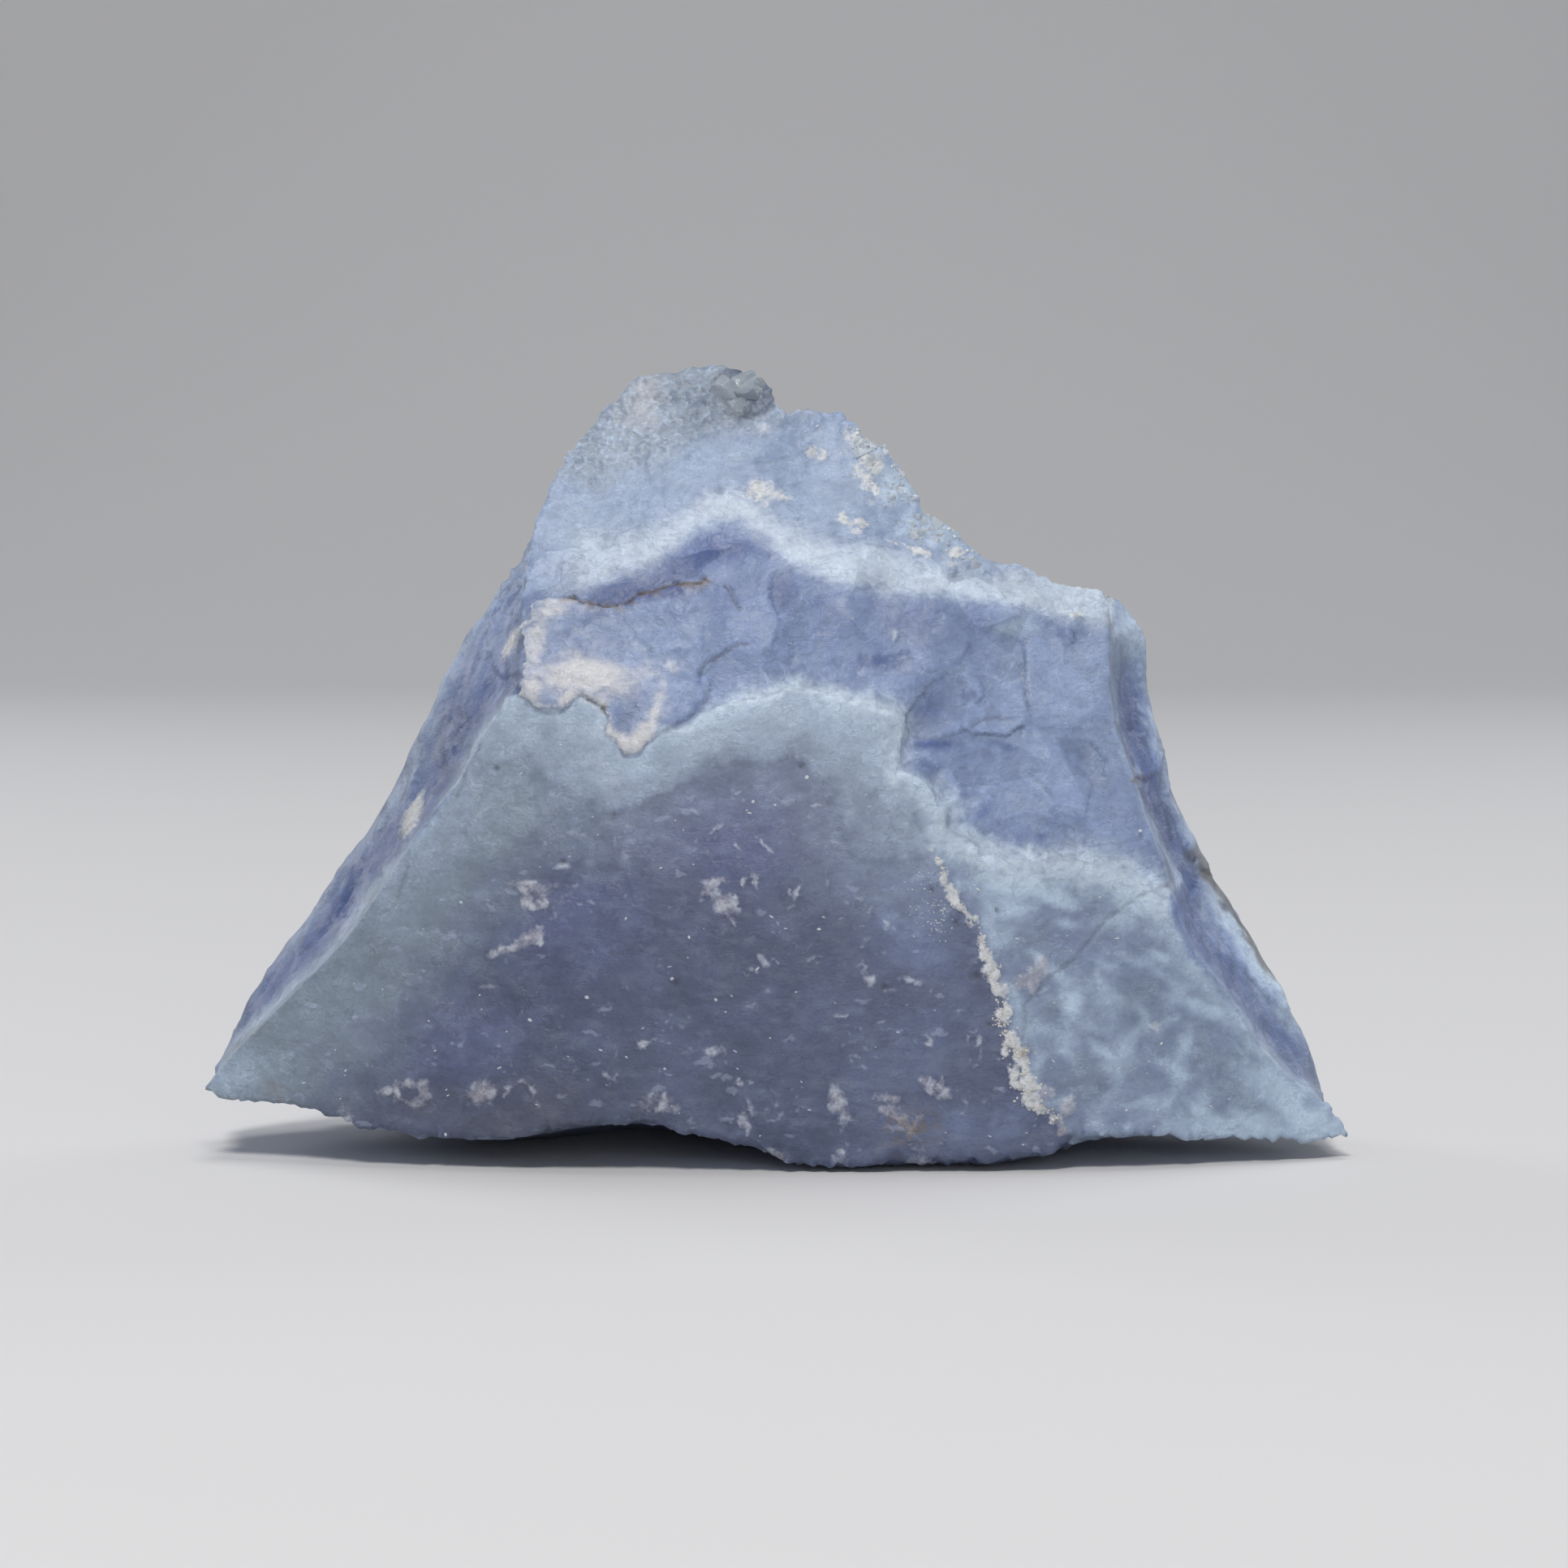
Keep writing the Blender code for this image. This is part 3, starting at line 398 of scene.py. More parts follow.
# The brown crack over the flake, and finer ones, each with how dark it is
brownCrack = [
    (701, 737), (706, 735), (715, 741), (735, 745), (752, 747), (768, 746), (777, 741), (785, 733),
    (797, 730), (815, 725), (830, 720), (850, 721), (864, 720), (868, 712), (872, 713),
]
cracks = [
    ([(893, 720), (900, 727), (905, 740), (912, 750)], 1.0),
    ([(861, 832), (868, 820), (880, 811), (890, 806), (905, 795), (920, 793)], 0.9),
    ([(875, 840), (872, 860), (865, 872), (850, 883)], 0.7),
    ([(716, 855), (728, 862), (738, 868), (746, 877)], 0.8),
    ([(802, 910), (816, 900), (832, 896), (850, 883)], 0.25),
    ([(1440, 1090), (1402, 1105), (1360, 1135), (1345, 1155), (1325, 1180), (1294, 1205)], 0.55),
    ([(1290, 1210), (1262, 1238), (1264, 1262), (1260, 1282)], 0.5),
    ([(985, 560), (940, 570), (900, 566)], 0.25),
    ([(1265, 788), (1262, 833), (1267, 871)], 0.5),
    ([(1199, 895), (1213, 886), (1248, 886)], 0.55),
    ([(1267, 953), (1282, 964), (1299, 984)], 0.4),
    ([(490, 1104), (497, 1085), (503, 1068)], 0.5),
    ([(560, 985), (572, 962), (576, 950)], 0.4),
    ([(1375, 890), (1387, 925), (1398, 953), (1413, 992), (1430, 1024), (1446, 1062)], 0.45),
    ([(1532, 1200), (1566, 1232), (1600, 1262), (1618, 1284)], 0.4),
    ([(1412, 836), (1419, 870), (1430, 925)], 0.35),
]
# Dishes where flakes sprang off the upper face: x, y, radius, depth
scars = [
    (1150, 868, 46, 0.42), (1218, 872, 52, 0.34), (1300, 830, 70, 0.30), (1190, 958, 62, 0.36),
    (1262, 985, 76, 0.30), (1338, 930, 52, 0.36), (1360, 1015, 58, 0.24), (1236, 800, 46, 0.30),
    (1110, 800, 60, 0.30), (1050, 812, 48, 0.26), (980, 808, 52, 0.28), (930, 762, 48, 0.26),
    (968, 728, 32, 0.30), (1010, 752, 44, 0.24), (900, 690, 46, 0.22), (1080, 750, 42, 0.20),
    (1340, 800, 44, 0.20), (1290, 905, 40, 0.22), (910, 835, 40, 0.22), (870, 860, 34, 0.2),
    (820, 760, 50, 0.22), (740, 780, 46, 0.2), (1305, 1030, 44, 0.26), (1230, 1022, 38, 0.3),
]

# Where the upper face is finely crinkled
crinkles = [
    (930, 842, 60, 16, -6, 0.9), (1060, 826, 60, 20, 8, 0.9), (1245, 1030, 80, 20, 8, 1.0),
    (1135, 968, 30, 16, 20, 0.9), (995, 782, 50, 16, -20, 0.5), (1195, 1000, 30, 30, 0, 0.8),
    (1150, 915, 50, 10, 0, 0.7),
]

# The lower face
paleShelf = [
    (560, 975), (588, 916), (623, 861)] + ledge[1:31] + [
    (1168, 1036), (1150, 1052), (1126, 1056), (1080, 1060), (1045, 1046), (1036, 1010), (1022, 975),
    (996, 945), (976, 926), (946, 940), (900, 938), (860, 955), (826, 972), (792, 988), (758, 1004),
    (747, 998), (703, 977), (669, 952), (646, 932), (600, 937),
]
# Veils and darker cells right of the vein, and paler ground left of it
veils = [
    (1252, 1090, 50, 16, 8, 1.0), (1300, 1104, 34, 13, 20, 0.9), (1404, 1112, 44, 18, 10, 0.9),
    (1360, 1187, 26, 10, 20, 0.5), (1430, 1182, 20, 10, 30, 0.7), (1484, 1243, 46, 12, 20, 0.8),
    (1321, 1240, 13, 26, -10, 0.75), (1362, 1296, 32, 10, 36, 0.65), (1458, 1290, 11, 30, 20, 0.5),
    (1478, 1372, 36, 11, 42, 0.75), (1410, 1358, 40, 9, -10, 0.55), (1580, 1350, 66, 26, 36, 0.9),
    (1520, 1392, 90, 12, 4, 0.8), (1300, 1390, 40, 10, 0, 0.4), (1440, 1262, 24, 8, -30, 0.45),
    (1245, 1150, 12, 40, -30, 0.4), (1380, 1240, 24, 8, -24, 0.4), (1550, 1290, 40, 14, 45, 0.7),
]
darkCells = [
    (1274, 1152, 34, 28, 10, 0.8), (1500, 1304, 36, 34, 0, 0.7), (1340, 1338, 34, 34, 0, 1.0),
    (1296, 1252, 16, 22, 0, 0.7), (1410, 1322, 30, 20, 0, 0.6), (1350, 1140, 30, 22, 0, 0.5),
    (1400, 1225, 26, 18, 20, 0.5), (1300, 1330, 24, 24, 0, 0.8), (1370, 1390, 60, 14, 0, 0.5),
]
paleGround = [
    (1120, 1120, 60, 80, -20, 0.55), (1110, 1310, 90, 80, 0, 0.28), (1180, 1385, 110, 34, 0, 0.4),
    (1040, 1085, 60, 40, 0, 0.25),
]
vein = {
    "line": [
        (1150, 1050), (1157, 1062), (1165, 1078), (1175, 1105), (1190, 1126), (1205, 1144), (1213, 1167),
        (1221, 1198), (1232, 1220), (1235, 1241), (1234, 1256), (1238, 1270), (1248, 1286), (1254, 1305),
        (1260, 1328), (1268, 1350), (1282, 1366), (1296, 1380),
    ],
    "widths": [3, 5, 8, 7, 4, 3, 7, 9, 12, 11, 9, 6, 13, 16, 18, 15, 10, 5],
    "lift": 0.14,
}
# Marks: x, y, half length, half width, turn in degrees, strength
creamMarks = [
    (655, 1092, 22, 6, 8, 0.8), (648, 1108, 5, 10, -20, 0.8), (668, 1106, 5, 11, 10, 0.7),
    (658, 1117, 9, 4, 0, 0.8), (636, 1165, 24, 5, -24, 0.9), (655, 1154, 14, 7, -20, 0.9),
    (667, 1160, 3, 10, 0, 0.6), (614, 1173, 10, 3, -15, 0.7), (873, 1092, 5, 12, 30, 0.9),
    (880, 1086, 10, 3, -8, 0.9), (890, 1112, 14, 7, 50, 0.85), (903, 1112, 5, 13, -25, 0.85),
    (897, 1124, 11, 4, 60, 0.7), (505, 1337, 16, 4, -8, 0.8), (490, 1347, 5, 10, 0, 0.8),
    (508, 1358, 16, 4, 10, 0.8), (523, 1346, 5, 9, 0, 0.8), (474, 1346, 9, 5, -10, 0.5),
    (594, 1346, 13, 11, 0, 0.95), (818, 1359, 14, 11, 20, 0.6), (796, 1360, 8, 8, 0, 0.35),
    (1034, 1360, 8, 19, -24, 0.7), (1095, 1354, 13, 5, 10, 0.8), (1096, 1366, 12, 4, 0, 0.7),
    (1110, 1376, 14, 6, 20, 0.75), (1122, 1388, 10, 6, -20, 0.5), (1140, 1334, 8, 5, 0, 0.8),
    (1148, 1345, 10, 4, 40, 0.7), (1160, 1338, 5, 10, 20, 0.8), (1167, 1346, 7, 4, 0, 0.7),
    (1260, 1208, 14, 8, -35, 0.85), (1276, 1198, 12, 9, -40, 0.9), (1284, 1188, 6, 10, 0, 0.8),
    (1272, 1214, 8, 9, 0, 0.7), (1315, 1364, 9, 10, 0, 0.9), (1307, 1390, 6, 10, 0, 0.8),
    (1288, 1346, 9, 7, 30, 0.9), (937, 606, 18, 12, 10, 0.95), (955, 613, 18, 5, 10, 0.7),
    (1046, 538, 5, 12, -20, 0.8), (1060, 556, 8, 16, -35, 1.0), (1074, 570, 8, 15, -30, 0.95),
    (1056, 580, 10, 7, 30, 0.8), (1072, 598, 8, 14, -35, 0.85), (1076, 614, 5, 10, 10, 0.6),
    (1007, 557, 14, 7, 8, 0.7), (1042, 642, 12, 6, 30, 0.95), (1062, 646, 9, 6, 20, 0.95),
    (1053, 655, 10, 3, 10, 0.6), (1104, 669, 12, 3, 18, 0.9), (1130, 681, 16, 4, 20, 1.0),
    (1176, 683, 8, 6, 0, 0.9), (1172, 694, 10, 4, 20, 0.7), (1325, 759, 9, 5, 0, 0.85),
    (916, 1384, 5, 12, -12, 0.6), (960, 1422, 14, 5, 25, 0.8), (1037, 1426, 10, 7, 0, 0.45),
    (422, 1376, 5, 12, 0, 0.6), (429, 1382, 4, 9, 0, 0.7), (1135, 1430, 14, 5, 0, 0.7),
    (795, 1285, 10, 4, -30, 0.6), (884, 1294, 12, 5, 0, 0.5), (844, 1294, 9, 4, 0, 0.4),
]
lensMarks = [
    (508, 1006, 24, 8, -66, 1.0), (632, 793, 20, 6, -62, 0.9), (515, 985, 12, 5, -70, 0.8),
]
# Round pits with a pale rim: x, y, half width, half height, strength
rings = [
    (640, 1353, 22, 19, 0.55), (925, 1091, 9, 11, 0.9), (977, 1092, 7, 8, 0.7), (1188, 1240, 6, 6, 0.8),
    (1198, 1284, 9, 7, 0.8), (1136, 1281, 7, 6, 0.7), (1295, 1289, 9, 8, 0.35), (914, 1331, 6, 5, 0.8),
    (1071, 1192, 6, 20, 0.85),
]
# The white marks on the quartz knob, at (893, 480) and (902, 499), are painted glints
whiteMarks = [
    (942, 1184, 9, 3, 50, 0.9), (933, 1194, 6, 3, 80, 0.9), (925, 1196, 8, 2, 0, 0.8),
    (1067, 1159, 7, 2, -50, 0.7), (1095, 1139, 9, 3, 40, 0.7), (1124, 1209, 10, 3, 30, 0.8),
    (1038, 1251, 9, 2, 0, 0.7), (723, 1229, 5, 5, 0, 0.9), (828, 1206, 4, 5, 20, 0.9),
    (882, 1232, 4, 4, 0, 0.9), (894, 1247, 3, 3, 0, 0.7), (792, 1267, 6, 3, -20, 0.5),
    (740, 1294, 6, 3, 10, 0.7), (746, 1325, 7, 3, 30, 0.7), (819, 1317, 5, 5, 0, 0.6),
    (949, 1279, 4, 3, 0, 0.6), (926, 1333, 8, 2, 10, 0.9), (925, 1367, 3, 12, -20, 0.7),
    (994, 958, 4, 6, 0, 1.0), (1005, 992, 8, 2, 0, 0.7), (928, 988, 4, 5, 0, 0.9),
    (911, 976, 7, 2, -20, 0.6), (946, 984, 8, 2, 20, 0.7), (955, 992, 3, 4, 0, 0.8),
    (882, 1021, 10, 2, -35, 0.7), (907, 1041, 7, 2, 40, 0.8), (941, 1042, 13, 2, 45, 0.8),
    (854, 999, 9, 2, 20, 0.5), (832, 1011, 5, 3, 0, 0.5), (842, 1023, 3, 3, 0, 0.6),
    (709, 1027, 12, 4, 0, 0.35), (768, 1036, 16, 4, 0, 0.3), (692, 1068, 9, 3, -10, 0.9),
    (771, 1132, 3, 6, 0, 0.7), (849, 1155, 3, 6, 10, 0.8), (653, 1257, 6, 5, 0, 0.8),
    (1009, 1145, 5, 4, 0, 0.8), (568, 1112, 4, 4, 0, 0.9), (521, 1145, 5, 2, 0, 0.6),
    (600, 1215, 10, 3, -10, 0.5), (591, 1226, 3, 3, 0, 0.7), (528, 1258, 4, 3, 0, 0.7),
    (413, 1294, 3, 4, 0, 0.5), (692, 1351, 7, 3, 0, 0.5), (1423, 1266, 7, 4, 20, 0.9),
    (1431, 1286, 4, 4, 0, 0.9), (1394, 1286, 3, 3, 0, 0.7), (1416, 1308, 3, 3, 0, 0.7),
    (1388, 1368, 4, 6, 0, 0.6), (1341, 1386, 3, 3, 0, 0.6), (1359, 1386, 3, 3, 0, 0.6),
    (1422, 1388, 4, 3, 0, 0.7), (1205, 1096, 5, 3, 0, 1.0), (1405, 1024, 4, 4, 0, 1.0),
    (1103, 781, 3, 7, 20, 0.9), (1218, 763, 4, 2, -30, 0.8), (974, 793, 4, 3, 0, 0.7),
    (1008, 850, 3, 3, 0, 0.7), (893, 480, 8, 8, 0, 0.9), (940, 528, 8, 5, 0, 1.0),
    (819, 541, 5, 2, 40, 1.0), (820, 590, 4, 2, 0, 0.8), (902, 499, 3, 3, 0, 0.8),
    (870, 513, 2, 3, 0, 0.8), (866, 616, 3, 3, 0, 0.7), (987, 591, 7, 3, 0, 0.5),
    (1038, 587, 5, 3, 0, 0.6), (549, 1398, 3, 5, 0, 0.9), (1265, 1396, 5, 3, 0, 0.5),
    (1018, 1084, 2, 10, 0, 0.35), (1152, 1245, 4, 2, 0, 0.6), (826, 820, 7, 5, 0, 1.0),
    (908, 562, 12, 3, 0, 0.5),
]
# Specks: x, y, radius
darkSpecks = [
    (1147, 1095, 3), (1178, 1137, 3), (1191, 1140, 2.5), (1203, 1202, 3.5), (1218, 1262, 3),
    (832, 1210, 3.5), (757, 1004, 4), (693, 1062, 3.5), (988, 943, 3), (1029, 976, 2.5), (1021, 988, 2.5),
    (611, 946, 3), (1405, 1032, 2.5), (1091, 1217, 2.5), (571, 1024, 3), (1229, 1119, 2.5),
]
# Where the ground is deep blue, stained brown, and violet. Some deep blue spots are painted shade: under
# the band, in the recess and along the shadowed ledge under the pale lobe
blueAndShadeSpots = [
    (790, 732, 66, 13, -8, 1.0), (838, 702, 50, 18, -30, 1.0), (890, 676, 56, 22, 0, 0.8),
    (890, 735, 80, 40, 0, 0.4), (968, 728, 20, 28, 10, 0.6), (1080, 814, 36, 12, -8, 0.6),
    (1040, 770, 50, 18, 10, 0.3), (1150, 872, 34, 20, -40, 0.55), (1150, 918, 44, 9, 0, 0.7),
    (1240, 922, 26, 7, 8, 0.6), (1268, 880, 8, 50, 4, 0.3), (1252, 818, 8, 18, 24, 0.3),
    (1336, 928, 26, 18, 30, 0.35), (1270, 1030, 62, 14, 16, 0.45), (1205, 1000, 36, 14, -20, 0.5),
    (1012, 745, 18, 12, 0, 0.4), (772, 727, 50, 11, -4, 1.0), (1140, 945, 28, 14, 0, 0.6),
    (925, 850, 50, 10, -10, 0.35), (1190, 980, 20, 26, 30, 0.5), (1300, 898, 34, 7, -6, 0.35),
]
stains = [
    (1122, 1388, 38, 24, 0, 0.6), (1262, 1302, 7, 13, 0, 0.8), (1306, 1390, 8, 9, 0, 0.7),
    (1261, 1282, 3, 6, 0, 0.8), (1402, 959, 12, 4, -14, 0.8), (338, 1343, 12, 18, 0, 0.35),
    (720, 858, 12, 4, 20, 0.6), (744, 872, 4, 8, -20, 0.6), (655, 1100, 26, 22, 0, 0.15),
    (1290, 1366, 9, 6, 0, 0.5),
]
violetTints = [
    (905, 1020, 130, 60, -8, 0.55), (700, 1130, 120, 70, 0, 0.3), (560, 1270, 90, 60, 0, 0.4),
    (1180, 765, 150, 16, 4, 0.25), (1250, 1060, 70, 14, 10, 0.3), (560, 860, 30, 60, 30, 0.4),
    (1340, 1160, 60, 40, 0, 0.4), (1400, 1380, 70, 20, 0, 0.5),
]

# More soft ellipses of the same kind
crestIce = [(850, 540, 190, 70, -10, 1.0)]
knobSpot = [(918, 484, 42, 34, 30, 1.0)]
peakHaze = [(795, 492, 20, 40, 10, 0.5)]
darkerFoot = [(620, 1375, 260, 60, 0, 1.0)]
shelfDip = [(1085, 1000, 60, 60, 0, 0.35)]
stripGap = [(1608, 1296, 26, 44, -20, 0.9)]
# Painted light: paler on the right of the upper face, where it turns away from the lamps
upperPaintedLight = [(1300, 870, 100, 130, 0, 0.22), (1250, 768, 24, 12, 0, 0.7)]
# Spots painted darker; on the peak, under the band and on the left side face they are painted shade, where
# the surface faces the lamps
darker = [
    (850, 470, 95, 60, 0, 0.95), (780, 726, 70, 16, -6, 0.6), (940, 770, 60, 30, 0, 0.35),
    (782, 882, 15, 24, 0, 1.0), (745, 782, 60, 24, 0, 0.4), (1150, 785, 40, 30, 0, 0.35),
    (545, 935, 26, 40, -60, 0.5), (600, 1250, 120, 60, 0, 0.35), (450, 1130, 40, 60, 0, 0.25),
    (1262, 982, 40, 24, 0, 0.3), (780, 590, 120, 40, 0, 0.15), (1020, 600, 60, 50, 0, 0.25),
    (1315, 1056, 80, 24, 0, 0.45), (590, 1326, 120, 34, 0, 0.3), (820, 1060, 40, 30, 0, 0.15),
]
paleTips = [
    (1625, 1385, 90, 34, 25, 1.1), (1530, 1388, 110, 22, 4, 0.95), (280, 1325, 60, 30, 0, 0.5),
    (1548, 1193, 44, 18, 48, 1.2), (1395, 770, 30, 50, 0, 0.8), (1247, 1118, 30, 14, -10, 0.85),
    (1150, 1000, 24, 34, -20, 0.95),
]
druseSpots = [
    (1070, 545, 40, 34, 50, 1.2), (1105, 600, 34, 40, 0, 1.3), (1150, 655, 50, 24, 35, 1.3),
    (1196, 684, 26, 12, 30, 1.0), (1398, 770, 22, 40, 0, 1.0), (1000, 515, 60, 14, 0, 0.5),
]
glassLine = [(640, 600), (700, 590), (790, 590), (860, 545), (930, 535), (1010, 510), (1100, 470)]
rindLine = [(1470, 1048), (1520, 1122), (1566, 1200)]

# Where things set in or fade, from and to: pixels from the left, and from the top
across = {
    "vein": (1110, 1160), "patch end": (850, 905), "patch rim": (655, 680), "ribbon": (806, 826),
    "band": (660, 740), "pale left": (690, 770), "crest": (960, 1040), "crease": (840, 900),
    "crease end": (1090, 1130), "frost": (1150, 1190), "core": (860, 920), "step end": (1100, 1160),
}
down = {
    "patch rim": (790, 840), "pale left": (715, 745), "left side": (860, 930), "groove": (780, 860),
    "right groove": (800, 860), "groove foot": (1190, 1260), "arris": (850, 900), "shelf": (1020, 1260),
}
# Values that change along the picture: the pixels, and the values there
rimWidths = ([620, 700, 820, 1000, 1110, 1200, 1440], [26, 22, 30, 34, 30, 42, 40])
coreWidths = ([1000, 1200], [9, 24])
coreShares = ([620, 700, 860, 920, 1100, 1140, 1190, 1400], [0.4, 0.3, 0.5, 0.85, 0.85, 0.75, 1.0, 0.9])
milkShares = ([700, 860], [0.6, 0.9])
stripShares = ([1000, 1150], [0.6, 0.95])
creamSplit = 1000   # cream marks above this row are bright, those below it are muted

# How the surface is cut: millimetres between vertices, how often, and how strongly it is rounded; around a
# mark, a line and the vein it is cut closer, within so many pixels
cut = {
    "first": 1.0, "seen": 0.62, "marked": 0.37, "unseen": 1.35, "firstPasses": 3, "lastPasses": 4,
    "merge": 2e-6, "sharp": (16, 34), "crestUp": (48, 54), "crestAlong": (0, 6),
    "firstRounding": 0.5, "firstTimes": 9, "lastRounding": 0.3, "lastTimes": 2,
    "markMargin": 5, "lineMargin": (4, 12), "veinMargin": (14, 26), "spare": 2,
}
markSmallest = 6.5   # marks narrower than this, in pixels, are chips of their own
# Broken edges, in millimetres: where the foot and the peak are, and how far they are pushed about
ragged = {
    "foot": (3.5, 8.0), "peak": (44, 52), "footPush": (0.30, 0.18, 0.32), "peakPush": 0.24, "teeth": 0.42,
    "inset": 0.01, "flatUnder": 0.12,
}


def broadOnes(marks):
    return [m for m in marks if max(m[2:4]) > markSmallest]


def closed(outline):
    return outline + outline[:1]


def markNearness(spot):
    # 1 close to a crisp mark, where the surface needs more vertices
    more = cut["markMargin"]
    marks = broadOnes(creamMarks + lensMarks + whiteMarks)
    grown = [(x, y, a + more, b + more, t, 1) for x, y, a, b, t, _ in marks]
    grown += [(x, y, a + more, b + more, 0, 1) for x, y, a, b, _ in rings]
    near = blobs(spot, grown + crinkles + crestIce)
    lines = [brownCrack, closed(patch["outline"]), ledge]
    lines += [line for line, _ in cracks] + [closed(row[0]) for row in facets]
    for line in lines + [vein["line"]]:
        start, end = cut["veinMargin" if line is vein["line"] else "lineMargin"]
        near = np.maximum(near, 1 - ramp(lineGap(spot, line, end + cut["spare"])[0], start, end))
    return near


def surfaceReach(points, faces):
    normals = vertexNormals(points, faces)
    seen = ramp(facingView(points[:, :3], normals), -0.1, 0.2)
    near = markNearness(picturePlace(points[:, :3]))
    front = cut["seen"] + (cut["marked"] - cut["seen"]) * ramp(near, 0.25, 0.5)
    return cut["unseen"] + (front - cut["unseen"]) * seen


def workedSurface():
    points, faces = mergedSolid(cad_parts["chalcedony_stone"])
    points = np.column_stack([points, edgeSharpness(points, faces)])
    for _ in range(cut["firstPasses"]):
        points, faces = splitLong(points, faces, np.full(len(points), cut["first"]))
    # sharp edges and the crystals of the crest are hardly rounded
    crest = ramp(points[:, 2], *cut["crestUp"]) * ramp(points[:, 0], *cut["crestAlong"])
    amount = cut["firstRounding"] * (1 - 0.85 * np.maximum(points[:, 3], crest))
    points[:, :3] = relaxed(points[:, :3], faces, amount, cut["firstTimes"])
    for _ in range(cut["lastPasses"]):
        points, faces = splitLong(points, faces, surfaceReach(points, faces))
        amount = cut["lastRounding"] * (1 - 0.7 * points[:, 3])
        points[:, :3] = relaxed(points[:, :3], faces, amount, cut["lastTimes"])
    return points[:, :3], faces, points[:, 3]


def held(value):
    return np.clip(value, 0, 1)


def most(*values):
    return np.maximum.reduce(values)


def ridged(points, size, seed, ways=(1.0, 1.0, 1.0)):
    # 1 along winding lines, the lumps stretched by the given ways
    return 1 - np.abs(rough(points * np.array(ways), size, seed))


def markShape(near, shapes):
    return ramp(blobs(near, [(x, y, a * 1.5, b * 1.5, t, 1) for x, y, a, b, t, _ in shapes]), 0.15, 0.85)


def markStrength(spot, shapes):
    return blobs(spot, [(x, y, 2.5 * a, 2.5 * b, t, s) for x, y, a, b, t, s in shapes])


def druseMask(spot):
    # where small crystals grow: along the right of the crest, and at its far corner
    return held(blobs(spot, druseSpots))


def ringMarks(near, grain):
    # round pits with a broken pale line: how much of the line, and how much of the pit
    lines, pits = np.zeros(len(near)), np.zeros(len(near))
    for x, y, a, b, strength in rings:
        offset = near - np.array((x, y))
        reach = np.hypot(offset[:, 0] / a, offset[:, 1] / b)
        broken = 0.25 + 0.75 * ramp(grain + np.sin(np.arctan2(offset[:, 1], offset[:, 0]) + a), -0.5, 0.9)
        lines = np.maximum(lines, strength * broken * bell((reach - 1) * min(a, b), 2.6))
        pits = np.maximum(pits, strength * (1 - ramp(reach, 0.7, 1.0)))
    return lines, pits


def facetMarks(place, spot):
    # the facets of the upper face: their painted light and shade, and their depth, growing along each
    # one's own way
    tones, depths = np.zeros(len(spot)), np.zeros(len(spot))
    for outline, tone, depth, turn in facets:
        inside = ramp(shapeGap(place, outline, 8), -1.5, 1.5)
        way = np.array((math.cos(math.radians(turn)), math.sin(math.radians(turn))))
        reach = np.array(outline) @ way
        deeper = held((spot @ way - reach.min()) / (reach.max() - reach.min()))
        tones = tones * (1 - inside) + tone * (0.4 + 0.6 * deeper) * inside
        depths = depths * (1 - inside) + depth * deeper * inside
    return tones, depths


def scarMarks(near, spot):
    # shallow flake scars: how deep, and a painted shade of its own for each, a little lighter or darker as a
    # facet turned another way
    depths, tones = np.zeros(len(spot)), np.zeros(len(spot))
    for number, (x, y, radius, depth) in enumerate(scars):
        reach = np.hypot(near[:, 0] * 0.3 + spot[:, 0] * 0.7 - x, spot[:, 1] - y) / radius
        bowl = depth * (1 - reach ** 2)
        tones = np.where(bowl > depths, math.sin(number * 2.4), tones)
        depths = np.maximum(depths, bowl)
    return depths, tones


